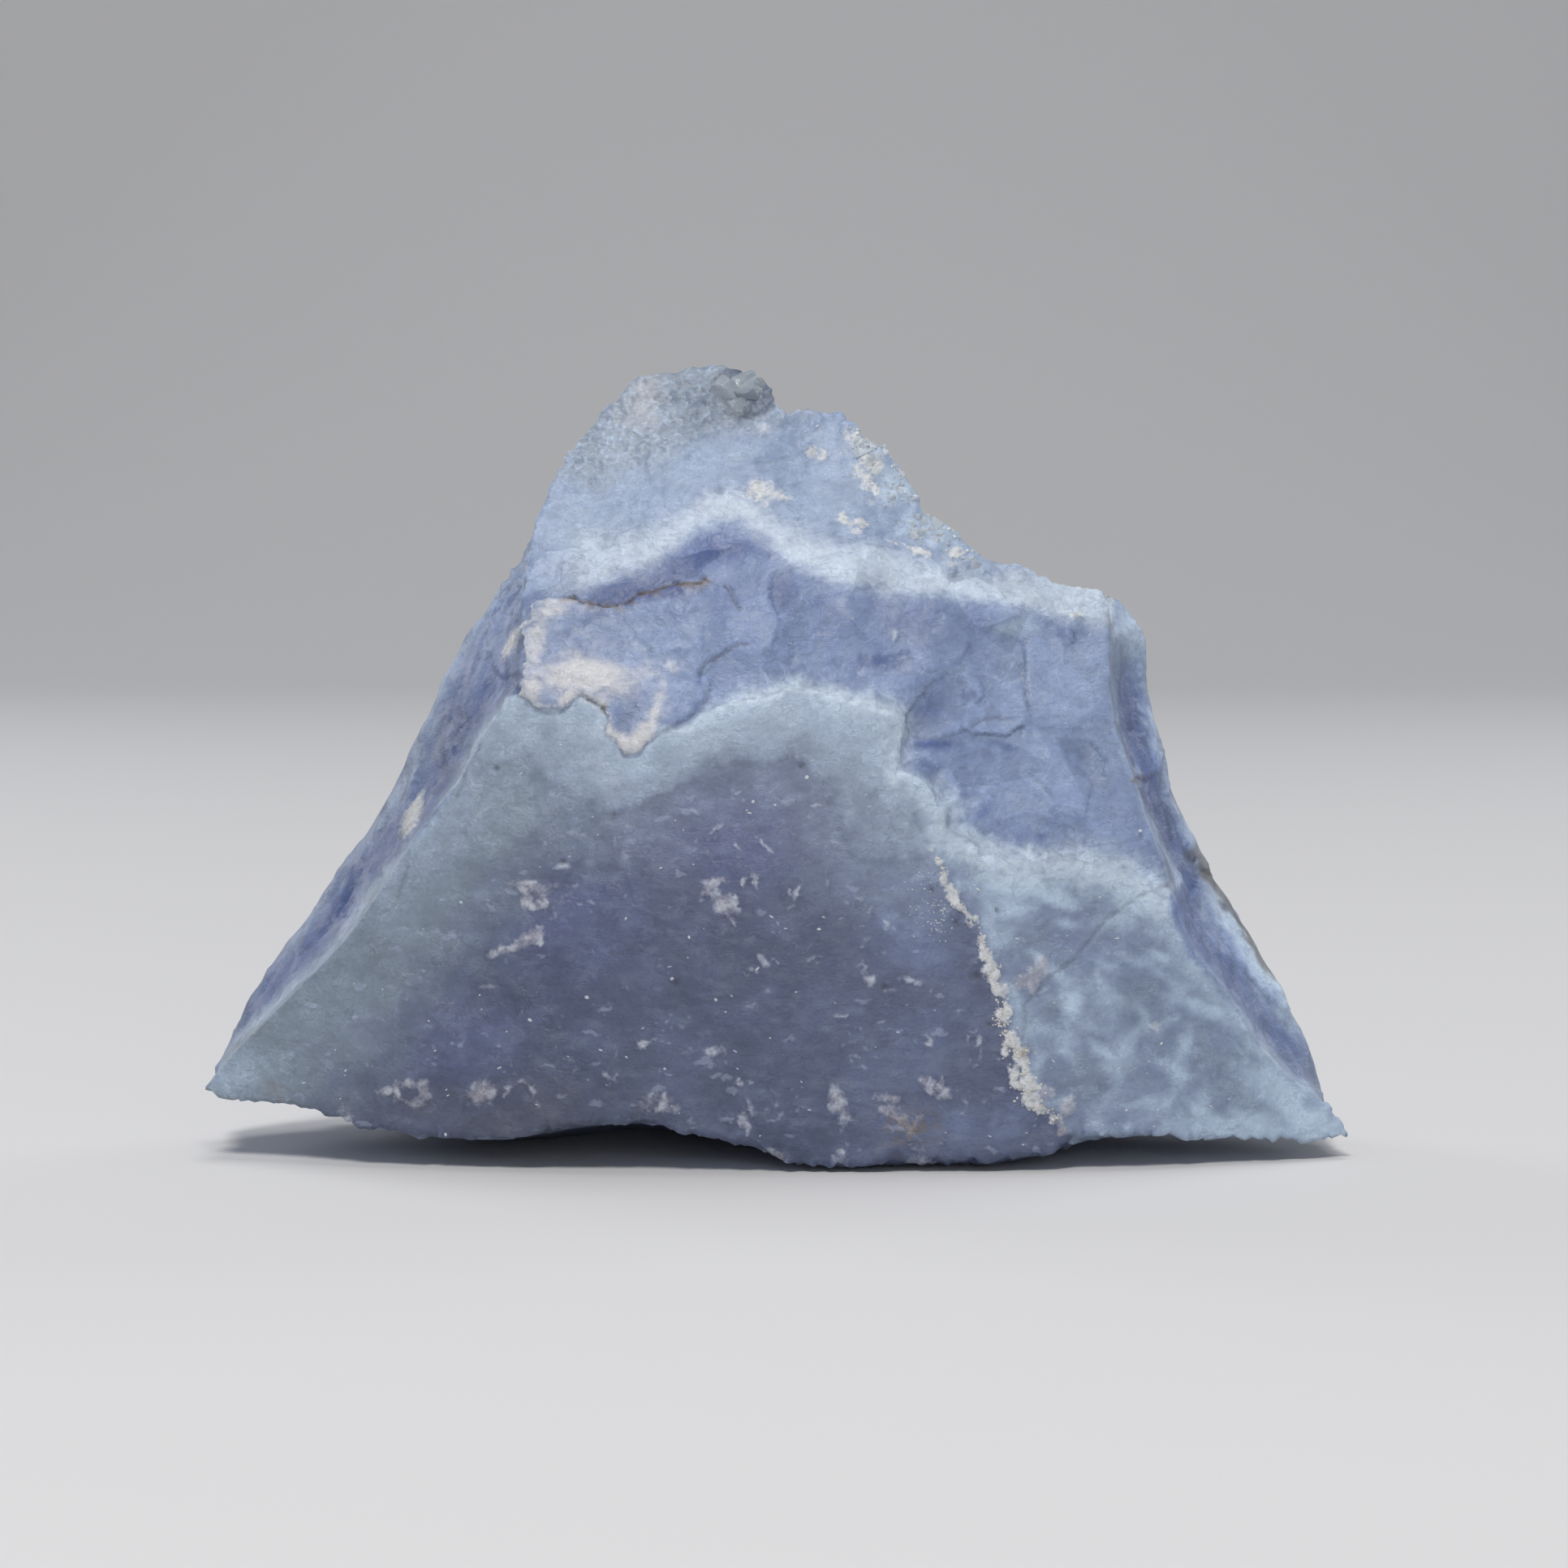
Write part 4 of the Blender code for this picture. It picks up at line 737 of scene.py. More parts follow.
def frontSurface(points, spot):
    # tones (how much of each colour, with the shade mark of painted light and shade) and the height of the
    # relief, for what the camera sees
    warp = roughWays(points, 1.3, 21) * 4.0
    fine = roughWays(points, 0.45, 23) * 1.6
    broad = roughWays(points, 4.5, 25) * 10
    near, far = spot + warp + fine, spot + warp + broad
    x, y = spot.T
    grain, cloudy = rough(points, 0.7, 31), rough(points, 3.0, 32)
    streaks = rough(points * np.array((0.6, 1.0, 1.4)), 1.1, 33)

    def past(name):
        return ramp(x, *across[name])

    def below(name):
        return ramp(y, *down[name])

    # which face each place is on
    lower = ramp(shapeGap(near, lowerFace), -4, 5)
    left = lineGap(far, leftArris)[0]
    leftSide, rightSide = signedGap(spot + fine, leftArris), signedGap(spot + fine, rightArris)
    leftOut, rightOut = ramp(leftSide, -2, 4), ramp(rightSide, -2, 4)
    side = np.maximum(leftOut, rightOut)
    lower *= 1 - side
    upper = (1 - lower) * (1 - side)

    veinGap, veinSide, veinShare = lineGap(near, vein["line"])
    veinWidth = np.interp(veinShare, np.linspace(0, 1, len(vein["widths"])), vein["widths"])
    crumbs = rough(points, 0.75, 40)
    veinIn = ramp(0.8 * veinWidth - veinGap + 4.0 * crumbs, -4, 4) * ramp(crumbs + 0.4 * grain, -1.1, -0.2)
    cloud = lower * (ramp(veinSide * veinGap, -4, 14) * past("vein"))

    # pale veils round darker cells, right of the vein
    billow = rough(points, 2.2, 41)
    celled = ramp(blobs(0.6 * near + 0.4 * far, darkCells), 0.1, 0.9)
    ridges = ramp(ridged(points, 4.2, 44) + 0.16 * billow, 0.52, 1.05) * (1 - 0.95 * celled)
    veiled = np.maximum(ramp(blobs(0.7 * near + 0.3 * far, veils), 0.05, 0.8), 0.60 * ridges)
    veiled = held(veiled + 0.14 * billow - 0.15 * celled)
    ground = blobs(far, paleGround) * (0.8 + 0.3 * billow)

    # the raised cream flake
    patchGap = shapeGap(spot + 0.5 * warp + fine, patch["outline"])
    patchIn = ramp(patchGap, -1.5, 2.5) * (1 - side)
    patchFade = 1 - past("patch end")
    wisps = 0.26 * (ridged(points, 1.3, 34, (0.8, 1.0, 1.3)) - 0.6)
    patchCream = ramp(blobs(0.5 * (near + spot), patch["cream"]) + 0.12 * cloudy + wisps, 0.15, 1.0)
    patchRim = bell(np.maximum(patchGap, 0), 5) * patchFade
    patchRim *= np.maximum(below("patch rim"), 1 - past("patch rim")) * (1 - past("ribbon"))

    # the pale band, and the glassy top above it
    bandHigh = signedGap(far, band["upper"])
    bandIn = ramp(signedGap(near, band["lower"]), -6, 20) * (1 - ramp(bandHigh, -22, 22)) * past("band")
    top = ramp(bandHigh, -14, 26) * upper
    paleLeft = upper * (1 - past("pale left")) * (1 - below("pale left"))
    glass = top * ramp(signedGap(far, glassLine), -20, 30)
    wrinkles = ridged(points, 1.0, 42, (0.7, 1.0, 1.6))
    icy = chipped(points, 1.1, 46)
    iceLines = ramp(ridged(points, 0.7, 47, (0.8, 1.0, 1.5)), 0.72, 0.96) * glass
    knob = ramp(blobs(near, knobSpot), 0.25, 0.6) * top
    crest = top * past("crest")
    druse = druseMask(spot) * (1 - side * 0.5)

    # cracks and dark specks
    crackGap, crackSide, _ = lineGap(spot + 0.35 * fine, brownCrack)
    crackIn = bell(crackGap, 2.2) * ramp(grain, -1.6, 0.2)
    rustUnder = bell(crackGap, 8) * (crackSide < 0) * ramp(grain, -0.5, 0.6)
    thin = np.zeros(len(points))
    for line, strength in cracks:
        thin = np.maximum(thin, strength * bell(lineGap(spot + 0.5 * fine, line, 12)[0], 2.2))
    specks = blobs(spot + 0.5 * fine, [(a, b, r, r, 0, 1.0) for a, b, r in darkSpecks])

    # cream, lens-shaped and white marks
    bright = [m for m in creamMarks if m[1] < creamSplit]
    muted = [m for m in creamMarks if m[1] >= creamSplit]
    lens = markShape(spot + 0.6 * fine, lensMarks) * markStrength(spot, lensMarks)
    cream = markShape(near, bright) * markStrength(near, bright) * (0.5 + 0.5 * ramp(grain, -0.7, 0.3))
    cream = np.maximum(cream, 0.9 * lens)
    broadWhite = broadOnes(whiteMarks)
    pale = markShape(spot + fine + 0.5 * warp, broadWhite) * markStrength(spot, broadWhite)
    pale = pale * ramp(grain, -1.1, 0.1) * 0.8
    ringOn, ringIn = ringMarks(near, grain)
    veil = np.maximum(markShape(near, muted) * markStrength(near, muted), ringOn * 0.8)

    # facets, scars and chips, and the shade they take: painted light and shade that follows the facets, the
    # scars and the slopes of the chips
    facetShading, facetDepth = facetMarks(spot + fine + 0.4 * warp, spot)
    dishes, scarShading = scarMarks(near, spot)
    flakes = chipped(points, 3.0, 19)
    crinkled = blobs(spot, crinkles)
    shade = upper * (1 - top) * (0.9 * facetShading + 0.14 * scarShading + 0.18 * flakes)
    shade += side * (0.3 * flakes + 0.8 * facetShading) + crinkled * 0.9 * chipped(points, 0.9, 45)
    # darker and greyer towards the foot of the lower face
    footDarkening = lower * blobs(far, darkerFoot)
    # painted shade on the left side face, and on the spots listed in darker
    shade -= 0.45 * footDarkening + leftOut * (0.55 + 0.35 * below("left side")) + blobs(far, darker)

    # strips, grooves and rims along the edges of the faces; the pale strips along the outer edges are a
    # painted glow of light through the thin edges
    leftStrip = bell(lineGap(near, leftOutline)[0], 10) * leftOut
    rightStrip = bell(lineGap(near, rightOutline)[0], 11) * rightOut * (1 - blobs(spot, stripGap))
    groove = bell(leftSide - 24, 18) * leftOut * below("groove")
    rightGroove = bell(rightSide - 19, 13) * rightOut * below("right groove")
    groove = np.maximum(groove, rightGroove * (1 - 0.55 * below("groove foot")))
    arrisLine = bell(leftSide - 3, 5) * below("arris") + 0.5 * bell(rightSide, 6)
    ledgeGap = lineGap(near, ledge)[0]
    rim = lower * bell(ledgeGap, np.interp(x, *rimWidths))
    wispGap = ledgeGap - 5 * rough(points, 0.6, 43)
    crease = upper * bell(wispGap, 13) * past("crease") * (1 - past("crease end")) * 0.7
    frost = upper * bell(wispGap, 20) * past("frost") * ramp(grain, -0.9, 0.5)
    core = np.interp(x, *coreShares) * bell(wispGap, np.interp(x, *coreWidths)) * (1 - side)
    core *= np.maximum(lower, past("core") * 0.75)

    # the pale shelf under the ledge
    stepGap = shapeGap(near, paleShelf)
    shelfGap = shapeGap(far * 0.5 + near * 0.5, paleShelf)
    stepShare = 0.12 + 0.22 * ramp(cloudy, -0.6, 0.6)
    shelf = 0.40 * ramp(shelfGap, -110, 0) + (0.60 - stepShare) * ramp(shelfGap, -10, 46)
    shelf += stepShare * ramp(stepGap, -3, 5)
    shelf += 0.26 * bell(stepGap - 2, 3) * ramp(grain, -0.4, 0.8)
    shelf *= lower * (1 - 0.8 * cloud)
    shelf *= 1 - blobs(far, shelfDip)
    shelf = np.maximum(shelf, 0.8 * lower * bell(left, 52) * (1 - below("shelf")))
    scales = ramp(ridged(points, 0.9, 48, (0.7, 1.0, 1.4)), 0.84, 0.99)
    scales = lower * (1 - cloud) * scales * ramp(rough(points, 2.6, 49), -0.1, 0.8)
    sagePart = lower * (1 - ramp(left, 50, 215)) * (1 - cloud)

    tones = {
        "slate": lower * (1 - 0.12 * ramp(cloudy, -0.2, 1.0)) * (1 - cloud * (0.62 - 0.3 * celled))
                 * (1 - ground),
        "sage": np.maximum(sagePart, 0.35 * cloud * (1 - veiled)),
        "violet": held(blobs(far, violetTints) + 0.10 * cloudy) * (1 - side * 0.5) * (1 - top),
        "shelf": held(shelf + 0.05 * streaks),
        # deep blue along the grooves and spots, partly painted shade under the band and the ledge
        "deepBlueAndShade": held(most(upper * ramp(blobs(near, blueAndShadeSpots), 0.1, 0.8) * 0.9, 0.85 * groove)),
        # pale mist, with a painted glow along the outer edges and painted light right on the upper face
        "mistAndLight": held(most(
            0.75 * rim, crease, 0.8 * frost, cloud * (0.14 + 0.78 * veiled), blobs(far, paleTips),
            0.7 * lower * bell(rightSide, 26), 0.42 * top * (1 - 0.5 * glass), 0.9 * iceLines,
            0.40 * leftStrip, np.interp(y, *stripShares) * rightStrip, 0.10 * patchIn * patchFade * upper,
            paleLeft * 0.35, 0.75 * arrisLine, 0.8 * druse * top, upper * blobs(far, upperPaintedLight),
        ) + 0.05 * streaks + 0.04 * grain),
        "milk": held(most(bandIn * upper * np.interp(x, *milkShares), core) + 0.1 * cloudy * bandIn),
        "glass": held(0.9 * glass * (0.75 + 0.3 * wrinkles) * (1 - 0.85 * crest) * (1 - 0.7 * iceLines)),
        "knob": knob,
        "veil": held(veil * (0.8 + 0.35 * grain)),
        "pale": held(most(pale, 0.34 * scales, 2.2 * veil * (1 - veil) * ramp(grain, -0.4, 0.6))),
        "haze": held(patchIn * patchFade * patchCream + top * blobs(near, peakHaze)),
        "cream": held(most(0.8 * patchIn * patchRim, 0.85 * veinIn, cream)),
        "rust": held(most(0.9 * crackIn, 0.85 * rustUnder, blobs(near, stains) * ramp(grain + 0.6, 0, 1))),
        "dark": held(most(0.6 * crackIn, 0.6 * thin, 0.9 * specks)),
        "rind": np.maximum(0.3 * footDarkening, rightOut * 0.9 * bell(lineGap(near, rindLine)[0], 9)),
        "faceted": held(
            0.9 * upper * (1 - 0.5 * top * (1 - glass)) + 0.8 * side + 0.45 * lower - 0.3 * patchIn),
        # the shade mark: painted light and shade, with the darker foot and the darker spots
        "shade": held(0.5 + 0.5 * shade + 0.30 * glass * icy),
        "speckled": held(lower * (1 - 0.7 * rim) + 0.25 * upper),
    }

    height = -dishes * upper - facetDepth * (upper + side)
    height += crinkled * 0.10 * chipped(points, 1.0, 45)
    height += lower * (1 - 0.6 * cloud) * (0.14 * chipped(points, 2.8, 5) + 0.07 * chipped(points, 1.1, 6))
    height += upper * (0.10 * flakes + 0.04 * chipped(points, 1.3, 7) + 0.01 * grain)
    height += top * 0.16 * chipped(points, 1.6, 8)
    height += glass * (0.30 * icy + 0.16 * wrinkles + 0.10 * iceLines)
    height += druse * 0.22 * dished(points, 1.5, 10)[0]
    height += knob * 0.25 * chipped(points, 1.3, 11)
    height += patch["lift"] * patchIn * patchFade * (1 + 0.2 * grain + 0.4 * chipped(points, 1.6, 12))
    height += 0.10 * patchRim * patchIn - 0.30 * crackIn - 0.16 * thin - 0.22 * specks
    height += vein["lift"] * veinIn * (0.6 + 1.2 * crumbs)
    height += 0.12 * (cream + veil) * (1 + 0.5 * grain) + 0.08 * pale - 0.08 * ringIn
    height += 0.07 * (rim + frost) * grain + 0.05 * scales
    height += 0.20 * ramp(stepGap, -3, 4) * lower * (1 - past("step end"))
    height += side * (0.13 * rough(points * np.array((1.6, 1.0, 0.55)), 1.6, 37) + 0.16 * flakes)
    return tones, height


def hiddenSurface(points, normals):
    # the same stone where the camera can't see it: flake scars, pale bands, a little cream, a patch of rind,
    # with painted shade on the flakes and bowls and painted light where it faces down
    z = points[:, 2]
    cloudy, grain = rough(points, 12.0, 51), rough(points, 0.7, 52)
    bands = z + 3.5 * rough(points, 14.0, 53) + 1.2 * rough(points, 4.0, 54)
    bowls, reach = dished(points, 11.0, 14)
    smallBowls, _ = dished(points, 4.2, 15)
    ripples = np.sin(reach * 46) * ramp(reach, 0.3, 0.7)
    creamy = ramp(rough(points, 3.2, 55) + 0.35 * rough(points, 1.1, 56), 0.88, 1.1)
    # under is 1 where the surface faces down, where the mist is painted paler: painted light
    under, crown = ramp(-normals[:, 2], 0.4, 0.8), ramp(z, 54, 64)
    bent = points + 1.1 * roughWays(points, 4.0, 64, 3)
    flakes, flakeShading = flatChips(bent, 3.6, 16)
    bigFlakes, bigTone = flatChips(bent, 10.0, 63)
    empty = np.zeros(len(points))
    rind = ramp(points[:, 0] - 0.5 * z + 4 * rough(points, 3.0, 61), 14, 30)
    tones = {
        "slate": ramp(cloudy, -0.1, 0.9) * (1 - crown) * 0.85,
        "sage": ramp(rough(points, 14.0, 57), 0.1, 0.9) * 0.6,
        "shelf": ramp(rough(points, 16.0, 62), 0.0, 0.9) * 0.6,
        "violet": ramp(rough(points, 13.0, 58), 0.2, 0.9) * 0.5,
        "deepBlueAndShade": 0.45 * ramp(bigTone + 0.25 * rough(points, 7.0, 59), 0.1, 0.4),
        "mistAndLight": held(0.2 + 0.35 * bell(bands - 24, 2.4) + 0.3 * crown + 0.1 * grain + 0.1 * under),
        "milk": 0.9 * bell(bands - 46, 2.8),
        "glass": 0.8 * ramp(bands, 56, 64),
        "veil": 0.85 * creamy * (1 - crown),
        "pale": ramp(rough(points, 0.8, 60), 0.95, 1.1) * 0.6,
        "haze": 0.5 * creamy * (1 - crown) * ramp(cloudy, 0.2, 0.8),
        "rind": 0.65 * rind * ramp(grain, -1.0, 0.6) * ramp(normals[:, 1], 0.1, 0.6),
        "faceted": empty + 0.75,
        # painted light and shade: each flake lighter or darker by its number, the bowls darker at their rims
        "shade": held(0.5 + 0.28 * flakeShading + 0.42 * bigTone + 0.12 * (bowls - 0.7)),
        "speckled": empty + 0.6,
    }
    for name in ("knob", "cream", "rust", "dark"):
        tones[name] = empty
    height = 0.40 * bowls + 0.20 * smallBowls + 0.04 * ripples - 1.0 + 3.6 * bigFlakes
    height += 1.1 * flakes + 0.1 * chipped(points, 1.2, 17) + 0.03 * grain
    height += 0.08 * creamy + crown * 0.2 * chipped(points, 1.4, 18)
    # small at the outline that the camera sees, and at the foot
    away = ramp(-facingView(points, normals), 0.04, 0.5) * ramp(z, 0.5, 6.0)
    return tones, height * (0.06 + 0.94 * away)


def raggedEdges(points, normals, sharp):
    # broken edges are ragged, most of all at the foot and round the peak
    foot = (1 - ramp(points[:, 2], *ragged["foot"])) * (0.3 + 0.7 * sharp)
    edgeOn = ramp(np.abs(facingView(points, normals)), 0.75, 0.2)
    peak = ramp(points[:, 2], *ragged["peak"]) * (0.2 + 0.8 * edgeOn)
    ways = np.column_stack([roughWays(points, 1.1, 71), rough(points, 0.8, 73)])
    teeth = ragged["teeth"] * chipped(points, 0.9, 74) * (sharp * foot + peak)
    points = points + ways * foot[:, None] * np.array(ragged["footPush"])
    points = points + ragged["peakPush"] * ways * peak[:, None] + normals * teeth[:, None]

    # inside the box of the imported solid, and flat where it rests
    low, high = (np.array(corner) / mm for corner in cadBox)
    points = np.clip(points, low + ragged["inset"], high - ragged["inset"])
    points[:, 2] = np.where(points[:, 2] < ragged["flatUnder"], 0.0, points[:, 2])
    return points


def chalcedonyStone(material):
    print("stone: cutting the surface")
    points, faces, sharp = workedSurface()
    normals = vertexNormals(points, faces)
    spot = picturePlace(points)
    seen = ramp(facingView(points, normals), -0.12, 0.08)
    print("stone: marks and relief on", len(points), "vertices")
    front, hidden = seen > 0, seen < 1
    tones, height = frontSurface(points[front], spot[front])
    hiddenTones, hiddenHeight = hiddenSurface(points[hidden], normals[hidden])

    def blended(frontValues, hiddenValues):
        values = np.zeros(len(points))
        values[front] = seen[front] * frontValues
        values[hidden] += (1 - seen[hidden]) * hiddenValues
        return values

    points = raggedEdges(points + normals * blended(height, hiddenHeight)[:, None], normals, sharp)
    obj = meshObject("chalcedony_stone_surface", points, faces, material)
    for name in tones:
        layer = obj.data.attributes.new(name, "FLOAT", "POINT")
        layer.data.foreach_set("value", blended(tones[name], hiddenTones[name]).astype(np.float32))
    print("stone:", len(faces), "triangles")
    return obj, points, faces


# Colours as they look in even light
paint = {
    # the mist colour also paints a glow along the outer edges and light on the right of the upper face
    "lavender": (124, 140, 176), "slate": (77, 86, 114), "sage": (121, 134, 148), "violet": (100, 107, 147),
    # the deep blue also paints shade under the band, in the recess and along the ledge under the pale lobe
    "shelf": (149, 163, 184), "deepBlueAndShade": (78, 96, 145), "mistAndLight": (174, 192, 212), "milk": (186, 199, 214),
    "glass": (146, 158, 173), "knob": (106, 118, 136), "veil": (160, 160, 172), "pale": (182, 190, 204),
    "haze": (195, 196, 201), "cream": (198, 201, 205), "rust": (114, 98, 78), "dark": (58, 60, 70),
    "rind": (102, 105, 111), "fleck": (150, 161, 186),
}
fleckShare = 0.44
# Each tone over the last: which noise frays its edge, how much, and how crisp the edge is
toneOrder = [
    ("slate", "Mottle", 1.0, 1.0), ("sage", "Mottle", 1.2, 1.0), ("violet", "Mottle", 1.0, 1.0),
    ("shelf", "Mottle", 1.2, 1.0), ("mistAndLight", "Mottle", 1.4, 1.0), ("milk", "Streaks", 1.8, 1.0),
    ("glass", "Streaks", 1.6, 1.0),
    ("knob", "Mottle", 1.0, 1.4), ("deepBlueAndShade", "Streaks", 1.5, 1.0), ("rind", "Mottle", 1.6, 1.2),
    ("haze", "Streaks", 1.6, 1.0), ("veil", "Grain", 2.0, 1.3), ("pale", "Grain", 1.0, 1.3),
    ("cream", "Grain", 2.4, 1.8), ("rust", "Mottle", 1.6, 1.0), ("dark", "Grain", 0.6, 1.0),
]


def linear(colour):
    return tuple(((c / 255 + 0.055) / 1.055) ** 2.4 for c in colour) + (1.0,)


# Node tools: an input is given a number or colour, or the output that feeds it
def newNode(tree, kind, inputs=(), **settings):
    made = tree.nodes.new(kind)
    number = len(tree.nodes)
    made.location = (240 * (number % 12), -300 * (number // 12))
    for name, value in settings.items():
        setattr(made, name, value)
    for name, value in dict(inputs).items():
        if isinstance(value, bpy.types.NodeSocket):
            tree.links.new(value, made.inputs[name])
        else:
            made.inputs[name].default_value = value
    return made


def mathNode(tree, operation, *values, clamp=False):
    return newNode(tree, "ShaderNodeMath", enumerate(values), operation=operation, use_clamp=clamp).outputs[0]


def vectorNode(tree, operation, inputs):
    made = newNode(tree, "ShaderNodeVectorMath", inputs, operation=operation)
    return made.outputs["Value" if operation == "DOT_PRODUCT" else 0]


def newGroup(name, kind, inputs, outputs):
    # a node group with the sockets named, each with its kind, and the ends to wire to
    tree = bpy.data.node_groups.new(name, kind)
    for way, sockets in (("INPUT", inputs), ("OUTPUT", outputs)):
        for label, what in sockets:
            tree.interface.new_socket(label, in_out=way, socket_type="NodeSocket" + what)
    return tree, newNode(tree, "NodeGroupInput").outputs, newNode(tree, "NodeGroupOutput").inputs


def numbers(*names):
    return [(name, "Float") for name in names]


def frayGroup():
    # a mask made crisper, whose edge breaks up with noise; its full and its empty parts stay as they are
    tree, start, end = newGroup(
        "frayed edge", "ShaderNodeTree", numbers("Mask", "Noise", "Amount", "Crispness"), numbers("Mask"))
    mask = start["Mask"]
    soft = mathNode(tree, "MULTIPLY", mathNode(tree, "SUBTRACT", 1.0, mask), mask)
    shift = mathNode(tree, "MULTIPLY", mathNode(tree, "SUBTRACT", start["Noise"], 0.5), start["Amount"])
    worn = mask
    for _ in range(2):
        worn = mathNode(tree, "MULTIPLY_ADD", soft, shift, worn)
    centred = mathNode(tree, "SUBTRACT", worn, 0.5)
    tree.links.new(mathNode(tree, "MULTIPLY_ADD", centred, start["Crispness"], 0.5, clamp=True), end["Mask"])
    return tree


def chipGroup():
    # flat chips that meet in ridges: how high each place stands on its chip's slope, and a number a chip
    tree, start, end = newGroup(
        "flat chips", "ShaderNodeTree", [("Vector", "Vector"), ("Scale", "Float")],
        numbers("Height", "Number"))
    place, scale, half = start["Vector"], start["Scale"], (0.5, 0.5, 0.5)
    bend = newNode(tree, "ShaderNodeTexNoise", {"Vector": place, "Scale": scale})
    centred = vectorNode(tree, "SUBTRACT", {0: bend.outputs["Color"], 1: half})
    shift = vectorNode(tree, "SCALE", {0: centred, "Scale": mathNode(tree, "DIVIDE", 0.4, scale)})
    bent = vectorNode(tree, "ADD", {0: place, 1: shift})
    cells = newNode(tree, "ShaderNodeTexVoronoi", {"Vector": bent, "Scale": scale}).outputs
    away = vectorNode(tree, "SUBTRACT", {0: bent, 1: cells["Position"]})
    slope = vectorNode(tree, "SUBTRACT", {0: cells["Color"], 1: half})
    tree.links.new(vectorNode(tree, "DOT_PRODUCT", {0: away, 1: slope}), end["Height"])
    tree.links.new(newNode(tree, "ShaderNodeSeparateColor", {0: cells["Color"]}).outputs[1], end["Number"])
    return tree


def grainGroup(chipTree):
    # the fine structure of the stone: mottling, streaks, grain, crinkles, slanting flecks and flat chips
    tree, start, end = newGroup("chalcedony grain", "ShaderNodeTree", [("Vector", "Vector")], numbers(
        "Mottle", "Streaks", "Grain", "Crinkles", "Flecks", "Chips", "Chip shading"))
    noises = {}
    for name, stretch, scale, detail, distortion in (
            ("Mottle", (1, 1, 1.2), 400, 4, 0.5), ("Streaks", (0.75, 1, 1.35), 1400, 3, 0.8),
            ("Grain", (1, 1, 1), 3200, 2, 0.2)):
        mapping = newNode(tree, "ShaderNodeMapping", {
            "Vector": start["Vector"], "Rotation": (0, 0.3, 0), "Scale": stretch})
        noises[name] = newNode(tree, "ShaderNodeTexNoise", {
            "Vector": mapping.outputs[0], "Scale": scale, "Detail": detail,
            "Distortion": distortion}).outputs[0]
        tree.links.new(noises[name], end[name])

    # crinkles: thin lines where the streaks cross their middle, in patches
    apart = mathNode(tree, "ABSOLUTE", mathNode(tree, "SUBTRACT", noises["Streaks"], 0.5))
    lines = mathNode(tree, "MULTIPLY_ADD", apart, -17.0, 1.0, clamp=True)
    patches = mathNode(tree, "MULTIPLY_ADD", noises["Mottle"], 6.0, -2.5, clamp=True)
    tree.links.new(mathNode(tree, "MULTIPLY", lines, patches), end["Crinkles"])

    # flecks: spots of chance size, bent and slanting
    bend = newNode(tree, "ShaderNodeTexNoise", {"Vector": start["Vector"], "Scale": 900})
    bent = vectorNode(tree, "MULTIPLY_ADD", {
        0: bend.outputs["Color"], 1: (0.0016, 0.0016, 0.0016), 2: start["Vector"]})
    slanting = newNode(tree, "ShaderNodeMapping", {
        "Vector": bent, "Rotation": (0, 0.4, 0), "Scale": (0.5, 1, 1.35)})
    spots = newNode(tree, "ShaderNodeTexVoronoi", {"Vector": slanting.outputs[0], "Scale": 640}).outputs
    chance = newNode(tree, "ShaderNodeSeparateColor", {0: spots["Color"]}).outputs[0]
    size = mathNode(tree, "MULTIPLY_ADD", chance, 0.50, -0.17)
    inside = mathNode(tree, "SUBTRACT", size, spots["Distance"])
    tree.links.new(mathNode(tree, "MULTIPLY", inside, 9.0, clamp=True), end["Flecks"])

    # broad chips, and small ones on them; the chips' numbers become their painted shading
    broad, small = (newNode(tree, "ShaderNodeGroup", {"Vector": start["Vector"], "Scale": scale},
                            node_tree=chipTree) for scale in (250, 820))
    for source, target, broadShare, smallShare in (
            ("Height", "Chips", 0.34, 0.30), ("Number", "Chip shading", 0.65, 0.35)):
        share = mathNode(tree, "MULTIPLY", broad.outputs[source], broadShare)
        tree.links.new(mathNode(tree, "MULTIPLY_ADD", small.outputs[source], smallShare, share), end[target])
    return tree


grainTree, frayTree = grainGroup(chipGroup()), frayGroup()


def mixedColour(tree, under, factor, over, blend="MIX"):
    return newNode(tree, "ShaderNodeMix", {"Factor": factor, 6: under, 7: over},
                   data_type="RGBA", blend_type=blend).outputs[2]


def ranged(tree, value, low, high):
    # a number that runs from low to high as the value goes from 0 to 1
    return newNode(tree, "ShaderNodeMapRange", {"Value": value, "To Min": low, "To Max": high}).outputs[0]


# the colour multiplied by a value mapped from low to high: painted shade for the shade mark and the chips,
# the stone's own tone for streaks and grain
def multipliedColour(tree, colour, value, low, high):
    return mixedColour(tree, colour, 1.0, ranged(tree, value, low, high), "MULTIPLY")


def surfaceFinish(tree, shader, grain, faceted, bumpDistance, roughLow, roughHigh):
    # roughness and bump from the shared grain; faceted is how strongly the flat chips show
    tree.links.new(ranged(tree, grain["Mottle"], roughLow, roughHigh), shader.inputs["Roughness"])
    height = grain["Streaks"]
    for name, share in (("Grain", 0.5), ("Crinkles", 0.30), ("Flecks", 0.35)):
        height = mathNode(tree, "MULTIPLY_ADD", grain[name], share, height)
    chips = mathNode(tree, "MULTIPLY", grain["Chips"], faceted)
    height = mathNode(tree, "MULTIPLY_ADD", chips, 1 / bumpDistance, height)
    bump = newNode(tree, "ShaderNodeBump", {"Strength": 0.6, "Distance": bumpDistance, "Height": height})
    tree.links.new(bump.outputs[0], shader.inputs["Normal"])


